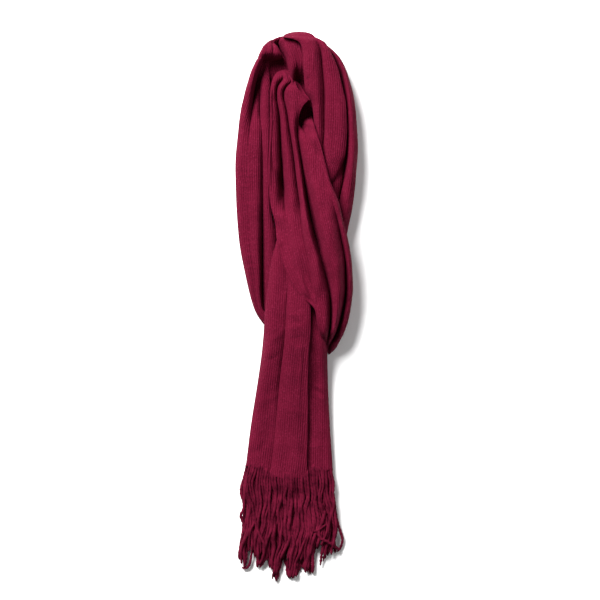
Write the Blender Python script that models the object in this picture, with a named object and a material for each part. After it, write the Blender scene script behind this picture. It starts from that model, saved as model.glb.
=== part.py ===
"""Knitted acrylic scarf, folded in half, drawn through its own loop and laid on a table.

The scarf lies along Y with its loop at +Y and its fringe at -Y, and rests on z = 0.
Each stretch of the folded cloth that shows is one solid: its upper face carries the
folds, its two sides show the edges of the folded layers, and its underside is flat on
the table or lies on the stretches below it.
"""

import math
import random
from collections import namedtuple

import bmesh
import bpy
from mathutils import Vector
from mathutils.bvhtree import BVHTree

# Driving dimensions, in millimetres
MM = 0.001  # metres
CLOTH = 2.0  # thickness of the knit
SEAM_GAP = 0.3  # between a hem and its fringe strip
REST_GAP = 0.6  # between a stretch and what it lies on
HEM_Y = 0.0  # the hem line of both tails: every y below is measured up from it
ROW_STEP = 16.0  # longest distance between two modelled sections
LEAST_STACK = 2 * CLOTH + 0.5  # least height of a stretch above what it lies on
HIGH = 200.0  # well above the highest fold
WIDE_FOLD = 16.0  # a fold that is wider somewhere has one more point across it
FOLD_POWERS = (2.4, 0.7)  # how full and how round-shouldered a fold is

# Points across a fold, as shares of its width, and across the underside
WIDE_STEPS = (0.0, 0.12, 0.36, 0.64, 0.88)
NARROW_STEPS = (0.0, 0.15, 0.5, 0.85)
UNDERSIDE_COLUMNS = 8
UNDERSIDE_INSET = 1.5  # from each side, or this share of the width if that is less:
INSET_SHARE = 0.1

# How a stretch is settled on what lies below it
CELL_SAMPLES = 9  # along each side of a cell of the underside
SAMPLE_REACH = 0.7  # of the distance to the next sample
SETTLE_SWEEPS = 40
EAGERNESS = 1.3  # above 1, so that few sweeps are needed

# Layered sides of a folded stretch
LAYERS = 3  # folded layers that show at a side
GROOVE = 3.2  # how far the gap between two layers goes in
STAGGER = 1.5  # how far one layer stands back from the next
SIDE_SHARE = 0.62  # height of the topmost layer's edge, as a share of the stretch
LEAST_SIDE = 0.6 * LEAST_STACK
FULL_WIDTH = 20.0  # a narrower stretch has shallower grooves
FULL_HEIGHT = 9.0  # and so has a lower one

# Fringe
STRIP_DEPTH = 3.6  # of the knitted strip that the strands grow from, along Y
STRAND_RADIUS = 1.9
STRAND_SIDES = 4
STRAND_RINGS = 10
STRAND_CLEARANCE = 0.35  # between two strands of a layer
ROOT_DEPTH = 1.2  # how far a strand's root goes into the strip
TOP_LAYER = 10.0  # level from which a layer's roots may start higher than its ends
ROOT_RISE = 6.0  # how much higher at most
ROOT_COVER = 2.2  # from a root's middle line to the top of the hem
SETTLE = 16.0  # distance over which such strands come down to their layer
SWAY = 1.4  # how far all the strands bend to and fro together
LOOSE_AFTER = 30.0  # distance from the strip where strands spread unevenly
BACK_SEED = 20
FRONT_SEED = 40

# One section across a stretch. y: distance up from the hem line. edges: x of the left
# side, of each crease and of the right side, from the scarf's middle line. crowns:
# height of each fold between them, above the table. cuts: depth of each crease below
# the lower of the two folds beside it.
Section = namedtuple("Section", "y edges crowns cuts")

# The cloth inside the top of the loop, which the hollow of the loop looks down on.
NECK_FOLD = [
    Section(482, (-20, -16, 2), (16, 23), (1,)),
    Section(476, (-27, -17, 7), (9, 28), (1,)),
    Section(467, (-34, -16, 9), (6, 30), (1,)),
    Section(460, (-40, -15, 10), (5, 29), (1,)),
    Section(452, (-42, -12, 11), (4.5, 23), (0,)),
    Section(445, (-42, -10, 12), (4.5, 13), (0,)),
    Section(435, (-40, -7, 14), (4.5, 8), (0,)),
    Section(420, (-37, -4, 18), (4.5, 5), (0,)),
    Section(402, (-35, -1, 21), (4.5, 5), (0,)),
    Section(382, (-30, 1, 22), (4.5, 4.5), (0,)),
]

# Folds: outer rim, wide panel, ridge beside the front stretch.
LEFT_STRAND = [
    Section(479.5, (-27, -24, -21, -17), (20, 14, 18), (0, 0)),
    Section(477.5, (-31, -27, -21.5, -17), (23, 10, 20), (0, 0)),
    Section(475, (-34.5, -28.5, -20.5, -16.5), (25, 6, 20), (0, 0)),
    Section(472.5, (-37, -27.5, -18.5, -16), (26, 6, 20), (0, 0)),
    Section(469, (-39, -23, -16.5, -15), (27, 6, 18), (0, 0)),
    Section(465, (-41, -19, -15, -14), (28, 6, 14), (0, 0)),
    Section(461.5, (-43, -18, -15, -14), (26, 6, 10), (0, 0)),
    Section(458.5, (-44, -39, -36, -33), (27, 18, 10), (1, 0)),
    Section(452, (-47, -42, -39, -36), (27, 12, 7), (2, 0)),
    Section(444, (-51, -45, -41, -32), (27, 8, 8), (0, 0)),
    Section(437, (-53, -46, -41, -30), (27, 8, 14), (1, 1)),
    Section(424, (-57, -46, -41, -29), (26, 9, 20), (2, 1)),
    Section(402, (-62, -50, -41, -28.5), (26, 18, 23), (2, 3)),
    Section(378, (-65, -52, -39, -28), (25, 25, 24), (1, 2)),
    Section(340, (-68, -54, -38, -28), (25, 25, 24), (0, 5)),
    Section(300, (-67, -53, -38, -28), (24, 25, 23), (0, 8)),
    Section(259, (-64, -51, -38, -22), (22, 24, 21), (0, 9)),
    Section(220, (-57, -47, -38, -18), (20, 22, 19), (0, 9)),
    Section(182, (-47, -42, -37, 2), (17, 18, 17), (0, 5)),
    Section(165, (-36, -20, -8, 30), (14, 16, 16), (0, 0)),
    Section(149, (-10, 0, 10, 31), (12, 14, 14), (0, 0)),
    Section(136, (14, 20, 25, 31), (9, 10, 10), (0, 0)),
]

# Folds: inner fold, outer fold along the right outline.
RIGHT_STRAND_LOWER = [
    Section(480, (9, 15, 23), (22, 20), (0,)),
    Section(472, (11, 26, 35), (26, 24), (2,)),
    Section(457, (14, 42, 49), (26, 24), (2,)),
    Section(434, (20, 50, 58), (26, 25), (3,)),
    Section(407, (23, 53, 64), (25, 26), (3,)),
    Section(358, (25, 54, 67), (22, 26), (3,)),
    Section(330, (30, 52, 65), (22, 26), (4,)),
    Section(300, (34, 46, 62), (22, 25), (6,)),
    Section(270, (30, 42, 56), (20, 23), (6,)),
    Section(246, (28, 38, 51), (17, 19), (4,)),
]

# Folds: band beside the scarf's edge, band beside the lower right stretch.
RIGHT_STRAND_UPPER = [
    Section(487.5, (-8, 6, 10), (23, 22), (0,)),
    Section(484.5, (-15, 12, 17), (30, 28), (0,)),
    Section(481.3, (-18.5, 17, 21), (35, 31), (0,)),
    Section(479, (-6, 19, 25), (38, 33), (0,)),
    Section(476, (1.6, 21, 31), (41, 36), (1,)),
    Section(467, (6, 26, 36), (43, 38), (3,)),
    Section(446, (7, 28, 45), (43, 38), (5,)),
    Section(421, (9.4, 30, 51), (42, 39), (7,)),
    Section(413, (15, 30, 53), (41, 39), (7,)),
    Section(406, (17, 30, 54), (40, 39), (7,)),
    Section(380, (19, 30, 55), (37, 38), (6,)),
    Section(350, (20, 28, 53), (34, 36), (2,)),
    Section(336, (24, 32, 48), (33, 34), (0,)),
    Section(320, (30, 33, 38), (31, 31), (0,)),
]

TAIL_BACK = [
    Section(240, (0, 12, 30), (20, 20), (0,)),
    Section(204, (-1, 12, 26), (27, 27), (0,)),
    Section(182, (-1, 8, 22.5), (33, 33), (0,)),
    Section(165, (0, 10, 25), (35, 34), (0,)),
    Section(149, (0, 13, 30.5), (34, 33), (0,)),
    Section(139, (1, 14, 33), (32, 30), (0,)),
    Section(131, (1, 16, 33.4), (30, 28), (0,)),
    Section(105, (-2, 16, 34), (24, 21), (0.5,)),
    Section(61, (-4, 16, 36), (17, 16), (0.5,)),
    Section(HEM_Y, (-5.5, 16, 40), (13, 13), (0.5,)),
]

# Folds: left panel, which lies lower, and main panel.
TAIL_FRONT = [
    Section(286, (-20, -15, -10), (24, 24), (0,)),
    Section(272, (-20, -14, -6), (29, 29), (0,)),
    Section(260, (-22, -13, 0), (33, 33), (0,)),
    Section(248, (-25.3, -12, 4), (35, 35), (1,)),
    Section(234, (-28.6, -11, 9), (37, 38.5), (1.5,)),
    Section(214, (-31, -10.5, 12), (38, 41), (2,)),
    Section(198, (-33, -11, 14), (38, 42), (2,)),
    Section(182, (-35, -12, 15), (38, 43), (2,)),
    Section(160, (-36.5, -13, 15), (37, 42), (2,)),
    Section(138, (-38.5, -15, 13), (33, 38), (2,)),
    Section(105, (-43, -19, 12), (26, 31), (1.5,)),
    Section(61, (-50, -23, 12), (19, 24), (1,)),
    Section(39, (-53, -25, 11.5), (17, 21), (1,)),
    Section(15, (-56, -28, 11), (15, 19), (1,)),
    Section(HEM_Y, (-60, -30, 11), (15, 19), (1,)),
]

# Folds: two narrow folds at the left, the flap that becomes a ridge, the wide panel
# and the rolled right edge; the last three end as the petals of the loop's turn.
FRONT_STRAND = [
    Section(447, (-19, -17, -14, -12, -10, -8), (9, 9, 9, 9, 8), (0, 0, 0, 0)),
    Section(444, (-23, -19, -14, -11, -8, -6), (13, 13, 12, 10, 9), (0, 0, 0, 0)),
    Section(440, (-26, -17, -12, -8, -5, -3), (17, 17, 12, 9, 8), (0, 0, 0, 0)),
    Section(436, (-27.2, -10, -7, -4, -2, 0), (20, 17, 15, 9, 7), (3, 0, 0, 0)),
    Section(432.5, (-28, -16.5, -7, -3, -1, 1.5), (21, 20, 17, 9, 7), (5, 1, 0, 0)),
    Section(429, (-28.6, -20, -8, -1, 1, 3), (21, 22, 21, 12, 8), (5, 4, 0, 0)),
    Section(425.5, (-29, -21.6, -12.7, 1, 3.5, 5.5), (21, 23, 25, 12, 9), (5, 5, 0, 0)),
    Section(421, (-29.4, -22, -14.2, 4, 6.5, 8.5), (21, 23, 27, 12, 9), (5, 5, 0, 0)),
    Section(416, (-29.7, -22, -13.8, 8.5, 10, 11.5), (21, 23, 28, 12, 9), (5, 5, 0, 0)),
    Section(412.5, (-29.7, -21.7, -13.2, 14, 14.8, 15.6), (21, 23, 29, 12, 9), (4, 4, 0, 0)),
    Section(409, (-29.6, -21.2, -12.4, 9.6, 11.5, 15), (22, 23, 30, 8, 8), (4, 4, 0, 0)),
    Section(405, (-29.5, -20.6, -11.6, 6.6, 10, 15.5), (22, 24, 30, 7, 7), (5, 4, 0, 0)),
    Section(399, (-29.5, -19.8, -10.6, 3.8, 9.5, 16.5), (22, 24, 31, 7, 7), (6, 4, 0, 0)),
    Section(393, (-29.5, -19, -9.8, 1.8, 10, 17), (23, 24, 31, 11, 11), (7, 4, 0, 0)),
    Section(388, (-29.5, -18.8, -9.2, 0.8, 12, 18), (23, 24, 31, 20, 20), (8, 4, 2, 0)),
    Section(380, (-29.5, -18.5, -8, 0, 16, 20.5), (23, 25, 31, 33, 35), (9, 5, 5, 0)),
    Section(347, (-31, -17, -3, 5, 26, 30), (24, 27, 35, 42, 38), (12, 5, 10, 2)),
    Section(321, (-31, -15, 0, 9, 33, 37), (26, 29, 40, 47, 42), (14, 4, 14, 4)),
    Section(299, (-30, -14, 3, 12.5, 40, 46), (28, 33, 45, 51, 45), (5, 3, 16, 5)),
    Section(263, (-22, -7, 8, 20.5, 48, 55), (38, 42, 50, 54, 44), (1, 1, 15, 6)),
    Section(230, (-11, 1, 15, 29, 52.5, 60), (44, 46, 51, 51, 39), (0, 0, 13, 7)),
    Section(204, (2, 9, 19, 34.5, 53.5, 60.5), (45, 46, 48, 46, 34), (0, 0, 11, 10)),
    Section(193, (13, 15, 20, 36.5, 52, 59.5), (43, 43, 45.5, 42.5, 32), (0, 0, 10, 10)),
    Section(182, (20.2, 21.2, 22.2, 37, 50, 58), (36, 38, 43, 39, 30), (0, 0, 10, 10)),
    Section(165, (23, 24, 25, 36.8, 45.5, 54), (28, 31, 38, 34, 26), (0, 0, 9, 9)),
    Section(155, (26, 27, 28, 34.5, 42.5, 51), (22, 25, 32, 30, 23), (0, 0, 8, 9)),
    Section(149, (29, 29.8, 30.6, 32.8, 40, 48.2), (14, 17, 22, 24, 20), (0, 0, 4, 7)),
    Section(144, (31.3, 31.9, 32.5, 33.5, 36, 45.5), (9, 11, 13, 16, 17), (0, 0, 1, 3)),
    Section(139, (32.5, 33, 33.5, 34, 34.6, 43), (7, 8, 8, 9, 14), (0, 0, 0, 0)),
    Section(132, (33.5, 34, 34.5, 35, 35.5, 37), (6, 6, 6, 6, 6), (0, 0, 0, 0)),
]

# Strands of a fringe lie in layers. level: height of the strands' middle line. first,
# last: x of the outermost roots. spread: how much wider the layer is at its ends.
# longest: length of the longest strand, past the strip.
Layer = namedtuple("Layer", "level first last strands spread longest")
FRINGE_FRONT_LAYERS = [
    Layer(2.4, -55, -14, 9, 4, 100),
    Layer(6.6, -57.5, -11, 10, 4, 110),
    Layer(10.8, -56, 8, 15, 5, 114),
]
FRINGE_BACK_LAYERS = [
    Layer(2.4, -3, 37.5, 9, 2, 96),
    Layer(6.6, -2.5, 36, 8, 2, 104),
    Layer(10.8, 17, 33, 4, 0, 90),
]

# A strand that strays from its layer. path: x, and distance below the hem line.
Stray = namedtuple("Stray", "level path")
FRINGE_BACK_STRAYS = [
    Stray(10.8, ((37.3, 4), (39, 15), (41, 28), (44, 50), (49.3, 66), (50, 73), (47, 81), (43, 86))),
]

BURGUNDY = (0.19, 0.012, 0.042, 1.0)


def fold_shape(t):
    """Height of a fold, 0 at its creases and 1 at its crown, at t from 0 to 1 across it."""
    full, round_shouldered = FOLD_POWERS
    return (1 - abs(2 * t - 1) ** full) ** round_shouldered


def slope(before, here, after, gap_before, gap_after):
    """Slope of a smooth curve through three values, which never swings past them."""
    first = (here - before) / gap_before
    second = (after - here) / gap_after
    if first * second <= 0:
        return 0.0
    return 2 * first * second / (first + second)


def flat_numbers(section):
    return [*section.edges, *section.crowns, *section.cuts]


def section_between(sections, index, share):
    """The section at share, from 0 to 1, of the way from sections[index] to the next."""
    last = len(sections) - 1
    around = [sections[min(max(index + k, 0), last)] for k in (-1, 0, 1, 2)]
    y = [s.y for s in around]
    gap = y[2] - y[1]
    numbers = []
    for a, b, c, d in zip(*(flat_numbers(s) for s in around)):
        m0 = slope(a, b, c, y[1] - y[0], gap) if index > 0 else (c - b) / gap
        m1 = slope(b, c, d, gap, y[3] - y[2]) if index + 1 < last else (c - b) / gap
        s, s2, s3 = share, share**2, share**3
        numbers.append(
            (2 * s3 - 3 * s2 + 1) * b
            + (s3 - 2 * s2 + s) * gap * m0
            + (3 * s2 - 2 * s3) * c
            + (s3 - s2) * gap * m1
        )
    edges, crowns = len(around[1].edges), len(around[1].crowns)
    return Section(
        y[1] + share * gap,
        tuple(numbers[:edges]),
        tuple(numbers[edges : edges + crowns]),
        tuple(numbers[edges + crowns :]),
    )


def rows_of(sections):
    """The table's sections with smooth ones between them, ROW_STEP or less apart."""
    rows = []
    for i in range(len(sections) - 1):
        steps = max(1, math.ceil(abs(sections[i + 1].y - sections[i].y) / ROW_STEP))
        rows += [section_between(sections, i, k / steps) for k in range(steps)]
    return rows + [sections[-1]]


DOWN = Vector((0, 0, -1))


class Pile:
    """The stretches laid so far, which the next one rests on."""

    def __init__(self):
        self.trees = []

    def add(self, obj):
        corners = [v.co.copy() for v in obj.data.vertices]
        faces = [tuple(p.vertices) for p in obj.data.polygons]
        low = Vector(min(c[i] for c in corners) for i in range(2))
        high = Vector(max(c[i] for c in corners) for i in range(2))
        self.trees.append((low, high, BVHTree.FromPolygons(corners, faces)))

    def height(self, x, y):
        """Height that a stretch has at x, y if it rests on the pile, in millimetres."""
        top = 0.0
        start = Vector((x * MM, y * MM, HIGH * MM))
        for low, high, tree in self.trees:
            if not (low.x <= start.x <= high.x and low.y <= start.y <= high.y):
                continue
            hit = tree.ray_cast(start, DOWN)[0]
            if hit is not None:
                top = max(top, hit.z / MM + REST_GAP)
        return top

    def highest_near(self, x, y, reach_x, reach_y):
        corners = [(x + i * reach_x, y + j * reach_y) for i in (-1, 1) for j in (-1, 1)]
        return max(self.height(*place) for place in [(x, y), *corners])


def place_under(row, column):
    """x of a point of the underside; whole columns are the underside's corners."""
    left, right = row.edges[0], row.edges[-1]
    inset = min(UNDERSIDE_INSET, INSET_SHARE * (right - left))
    return left + inset + column / (UNDERSIDE_COLUMNS - 1) * (right - left - 2 * inset)


def lowest_in_cell(corners, s, t):
    """Lowest that a cell of four corners can be at s, t, whichever way it is halved."""
    a, b, c, d = corners  # near left, near right, far left, far right
    if s + t < 1:
        one = a + t * (b - a) + s * (c - a)
    else:
        one = d + (1 - t) * (c - d) + (1 - s) * (b - d)
    if t > s:
        two = a + t * (b - a) + s * (d - b)
    else:
        two = a + s * (c - a) + t * (d - c)
    return min(one, two)


def underside_of(rows, pile):
    """Heights of the underside, a row for each section, resting on the pile."""
    columns = range(UNDERSIDE_COLUMNS)
    heights = [[pile.height(place_under(row, c), row.y) for c in columns] for row in rows]
    shares = [k / (CELL_SAMPLES - 1) for k in range(CELL_SAMPLES)]
    needs = []
    for i in range(len(rows) - 1):
        near, far = rows[i], rows[i + 1]
        reach_y = SAMPLE_REACH * abs(far.y - near.y) / (CELL_SAMPLES - 1)
        for c in range(UNDERSIDE_COLUMNS - 1):
            column_width = place_under(near, c + 1) - place_under(near, c)
            reach_x = SAMPLE_REACH * column_width / (CELL_SAMPLES - 1)
            lines = [(t, place_under(near, c + t), place_under(far, c + t)) for t in shares]
            if c == 0:
                lines.append((0.0, near.edges[0], far.edges[0]))
            if c == UNDERSIDE_COLUMNS - 2:
                lines.append((1.0, near.edges[-1], far.edges[-1]))
            for s in shares:
                y = near.y + s * (far.y - near.y)
                for t, near_x, far_x in lines:
                    need = pile.highest_near(near_x + s * (far_x - near_x), y, reach_x, reach_y)
                    if need > 0:
                        needs.append((i, c, s, t, need))
    ceilings = [list(row) for row in heights]
    for i, c, _, _, need in needs:
        for row in (i, i + 1):
            for column in (c, c + 1):
                ceilings[row][column] = max(ceilings[row][column], need)
    # The corners are raised a little at a time until the cloth clears the pile everywhere.
    for _ in range(SETTLE_SWEEPS):
        for i, c, s, t, need in needs:
            corners = (heights[i][c], heights[i][c + 1], heights[i + 1][c], heights[i + 1][c + 1])
            lack = need - lowest_in_cell(corners, s, t)
            if lack <= 0:
                continue
            weights = ((1 - s) * (1 - t), (1 - s) * t, s * (1 - t), s * t)
            lift = EAGERNESS * lack / sum(w * w for w in weights)
            for (row, column), weight in zip(((i, c), (i, c + 1), (i + 1, c), (i + 1, c + 1)), weights):
                raised = heights[row][column] + lift * weight
                heights[row][column] = min(raised, ceilings[row][column])
    return heights


def steps_of(sections):
    """Where the points of each fold lie across it: a wide fold has one more."""
    steps = []
    for k in range(len(sections[0].crowns)):
        widest = max(s.edges[k + 1] - s.edges[k] for s in sections)
        steps.append(WIDE_STEPS if widest > WIDE_FOLD else NARROW_STEPS)
    return steps


def across_top(row, left_height, right_height, steps):
    """Points of the folds from left to right, as (x, height)."""
    valleys = [
        min(row.crowns[k], row.crowns[k + 1]) - cut for k, cut in enumerate(row.cuts)
    ]
    ends = [left_height, *valleys, right_height]
    points = []
    for k, crown in enumerate(row.crowns):
        x0, x1 = row.edges[k], row.edges[k + 1]
        for t in steps[k]:
            foot = ends[k] if t < 0.5 else ends[k + 1]
            points.append((x0 + t * (x1 - x0), foot + (crown - foot) * fold_shape(t)))
    return points + [(row.edges[-1], right_height)]


def side_points(x, inward, top, bottom, y, room):
    """Points down a layered side, from the top layer's edge to the underside."""
    deep = min(1.0, room / FULL_WIDTH) * min(1.0, (top - bottom) / FULL_HEIGHT)
    points = []
    height = (top - bottom) / LAYERS
    for layer in range(LAYERS):
        z = top - layer * height
        back = 0.0 if layer == 0 else STAGGER * (1 + math.sin(0.045 * y + 2.3 * layer + x)) / 2
        points.append((x + inward * back * deep, z - 0.25 * height))
        points.append((x + inward * back * deep, z - 0.72 * height))
        if layer < LAYERS - 1:
            points.append((x + inward * GROOVE * deep, z - height))
    return points


def ring_of(row, underside, steps):
    """One closed ring of points (x, y, z), counterclockwise seen from the hem."""
    left, right = row.edges[0], row.edges[-1]
    width = right - left
    least = [h + LEAST_STACK for h in underside]
    sides = []
    for x, inward, floor, crown in (
        (left, 1, underside[0], row.crowns[0]),
        (right, -1, underside[-1], row.crowns[-1]),
    ):
        top = max(floor + SIDE_SHARE * (crown - floor), floor + LEAST_SIDE)
        sides.append((top, side_points(x, inward, top, floor, row.y, width)))
    top_points = []
    for x, z in across_top(row, sides[0][0], sides[1][0], steps):
        share = (x - left) / width * (UNDERSIDE_COLUMNS - 1)
        k = min(int(share), UNDERSIDE_COLUMNS - 2)
        floor = least[k] + (share - k) * (least[k + 1] - least[k])
        end = min(1.0, 6 * (x - left) / width, 6 * (right - x) / width)
        top_points.append((x, max(z, floor - (1 - end) * (LEAST_STACK - LEAST_SIDE))))
    ring = [(place_under(row, k), height) for k, height in enumerate(underside)]
    ring += reversed(sides[1][1])
    ring += reversed(top_points)
    ring += sides[0][1]
    return [(x * MM, row.y * MM, z * MM) for x, z in ring]


def material(name, colour, roughness):
    made = bpy.data.materials.new(name)
    made.use_nodes = True
    shader = made.node_tree.nodes["Principled BSDF"]
    shader.inputs["Base Color"].default_value = colour
    shader.inputs["Roughness"].default_value = roughness
    shader.inputs["Metallic"].default_value = 0.0
    return made


def mesh_object(name, points, faces, colour=BURGUNDY):
    mesh = bpy.data.meshes.new(name)
    mesh.from_pydata(points, [], faces)
    work = bmesh.new()
    work.from_mesh(mesh)
    bmesh.ops.recalc_face_normals(work, faces=work.faces)
    work.to_mesh(mesh)
    work.free()
    mesh.shade_smooth()
    mesh.set_sharp_from_angle(angle=math.radians(50))
    mesh.materials.append(material(name + "_knit", colour, 0.9))
    obj = bpy.data.objects.new(name, mesh)
    bpy.context.scene.collection.objects.link(obj)
    return obj


def loft(name, rings):
    """One closed solid through the rings, with a flat cap at each end."""
    count = len(rings[0])
    points = [p for ring in rings for p in ring]
    faces = [tuple(range(count)), tuple(reversed(range(len(points) - count, len(points))))]
    for i in range(len(rings) - 1):
        a, b = i * count, (i + 1) * count
        for k in range(count):
            n = (k + 1) % count
            faces.append((a + k, a + n, b + n, b + k))
    return mesh_object(name, points, faces)


def stretch(name, sections, pile):
    """A folded stretch of the scarf, resting on the pile and added to it."""
    rows = rows_of(sections)
    underside = underside_of(rows, pile)
    steps = steps_of(sections)
    rings = [ring_of(row, under, steps) for row, under in zip(rows, underside)]
    obj = loft(name, rings)
    pile.add(obj)
    return rings[-1]


def strand_lines(layer, top_at, seed):
    """The middle lines of a layer's strands, which keep apart at every distance."""
    waves = random.Random(seed)
    count = layer.strands
    phases = [(waves.uniform(0, 6.28), waves.uniform(0, 6.28)) for _ in range(count)]
    lengths = [layer.longest * waves.uniform(0.84, 1.0) for _ in range(count)]
    least = 2 * STRAND_RADIUS + STRAND_CLEARANCE

    def place(number, reach):
        """x of a strand at a distance from the strip: every strand takes its share of room."""
        share = reach / layer.longest
        loose = min(1.0, reach / LOOSE_AFTER)
        room = [
            1 + loose * (0.5 * math.sin(a + 5 * share) + 0.42 * math.sin(b + 9 * share))
            for a, b in phases
        ]
        gaps = [(room[k] + room[k + 1]) / 2 for k in range(count - 1)]
        width = layer.last - layer.first + layer.spread * share
        spare = width - least * (count - 1)
        before = least * number + spare * sum(gaps[:number]) / sum(gaps)
        sway = SWAY * loose * math.sin(0.042 * reach + 1.0)
        return layer.first - 0.5 * layer.spread * share + sway + before

    lines = []
    for number, length in enumerate(lengths):
        line = []
        for ring in range(STRAND_RINGS):
            reach = ring / (STRAND_RINGS - 1) * (length + ROOT_DEPTH) - ROOT_DEPTH
            x = place(number, max(0.0, reach))
            root = max(layer.level, min(layer.level + ROOT_RISE, top_at(x) - ROOT_COVER))
            down = min(1.0, max(0.0, reach) / SETTLE)
            z = layer.level if layer.level < TOP_LAYER else root + down * (layer.level - root)
            line.append((x, HEM_Y - SEAM_GAP - STRIP_DEPTH - reach, z))
        lines.append(line)
    return lines


def stray_line(stray):
    """The middle line of a stray strand, smooth through its path."""
    knots = [Section(-far, (x, 0.0), (0.0,), ()) for x, far in stray.path]
    line = [(stray.path[0][0], -stray.path[0][1] + ROOT_DEPTH, stray.level)]
    for row in rows_of(knots):
        line.append((row.edges[0], row.y, stray.level))
    return line


def tube(line, first_vertex):
    """Points and faces of one strand round its middle line, tapered at its end."""
    points, faces = [], []
    for i, (x, y, z) in enumerate(line):
        radius = STRAND_RADIUS * (0.6 if i == len(line) - 1 else 1.0)
        for k in range(STRAND_SIDES):
            angle = 2 * math.pi * (k + 0.5) / STRAND_SIDES
            reach = radius / math.cos(math.pi / STRAND_SIDES)
            points.append((x + reach * math.cos(angle), y, z + reach * math.sin(angle)))
    rings = len(line)
    for i in range(rings - 1):
        for k in range(STRAND_SIDES):
            n = (k + 1) % STRAND_SIDES
            a, b = first_vertex + i * STRAND_SIDES, first_vertex + (i + 1) * STRAND_SIDES
            faces.append((a + k, a + n, b + n, b + k))
    faces.append(tuple(first_vertex + k for k in reversed(range(STRAND_SIDES))))
    end = first_vertex + (rings - 1) * STRAND_SIDES
    faces.append(tuple(end + k for k in range(STRAND_SIDES)))
    return points, faces


def top_of_hem(ring):
    """A function that gives the height of the hem's upper face at x, in millimetres."""

    def top(x):
        heights = []
        for k, (x0, _, z0) in enumerate(ring):
            x1, _, z1 = ring[(k + 1) % len(ring)]
            low, high = sorted(((x0 / MM, z0 / MM), (x1 / MM, z1 / MM)))
            if low[0] <= x <= high[0] and high[0] - low[0] > 1e-6:
                share = (x - low[0]) / (high[0] - low[0])
                heights.append(low[1] + share * (high[1] - low[1]))
        return max(heights) if heights else 6.0

    return top


def fringe(name, hem_ring, layers, strays, seed):
    """A strip parted from the hem, and the strands that grow out of it, as one solid."""
    start = HEM_Y - SEAM_GAP
    rings = []
    for y in (start, start - STRIP_DEPTH):
        rings.append([(x, y * MM, z) for x, _, z in hem_ring])
    strip = loft(name, rings)
    points, faces = [], []
    top_at = top_of_hem(hem_ring)
    lines = [stray_line(stray) for stray in strays]
    for number, layer in enumerate(layers):
        lines += strand_lines(layer, top_at, seed + number)
    for line in lines:
        more_points, more_faces = tube(line, len(points))
        points += [(x * MM, y * MM, z * MM) for x, y, z in more_points]
        faces += more_faces
    strands = mesh_object(name + "_strands", points, faces)
    strands.hide_render = True
    strands.display_type = "WIRE"
    join = strip.modifiers.new("strands", "BOOLEAN")
    join.operation = "UNION"
    join.solver = "EXACT"
    join.object = strands
    return strip


def set_origin(objects):
    """Moves the scarf so that the middle of its underside's box is at the origin."""
    bpy.context.view_layer.update()
    graph = bpy.context.evaluated_depsgraph_get()
    corners = []
    for obj in objects:
        mesh = obj.evaluated_get(graph).to_mesh()
        corners += [v.co.copy() for v in mesh.vertices]
    middle_x = (min(c.x for c in corners) + max(c.x for c in corners)) / 2
    middle_y = (min(c.y for c in corners) + max(c.y for c in corners)) / 2
    laid = bpy.data.objects.new("laid_scarf", None)
    bpy.context.scene.collection.objects.link(laid)
    laid.location = (-middle_x, -middle_y, 0.0)
    for obj in bpy.data.objects:
        if obj.type == "MESH":
            obj.parent = laid


def main():
    for obj in list(bpy.data.objects):
        bpy.data.objects.remove(obj, do_unlink=True)
    pile = Pile()
    stretch("neck_fold", NECK_FOLD, pile)
    stretch("left_strand", LEFT_STRAND, pile)
    stretch("right_strand_lower", RIGHT_STRAND_LOWER, pile)
    stretch("right_strand_upper", RIGHT_STRAND_UPPER, pile)
    back_hem = stretch("tail_back", TAIL_BACK, pile)
    front_hem = stretch("tail_front", TAIL_FRONT, pile)
    stretch("front_strand", FRONT_STRAND, pile)
    fringe("fringe_back", back_hem, FRINGE_BACK_LAYERS, FRINGE_BACK_STRAYS, BACK_SEED)
    fringe("fringe_front", front_hem, FRINGE_FRONT_LAYERS, [], FRONT_SEED)
    set_origin([o for o in bpy.data.objects if o.type == "MESH" and not o.hide_render])


main()
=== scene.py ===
"""Looks of a burgundy rib-knit scarf, doubled, drawn through its own loop and laid flat.

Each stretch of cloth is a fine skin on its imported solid, with ribs, wrinkles and rolled
layers, and the fringe is made of two-ply yarns in locks. Sizes are in millimetres, with x
from the scarf's middle line and y up from the hem line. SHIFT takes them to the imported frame.
"""

import math
import random
from collections import namedtuple

import bmesh
import bpy
import numpy as np
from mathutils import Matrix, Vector
from mathutils.bvhtree import BVHTree


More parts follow.
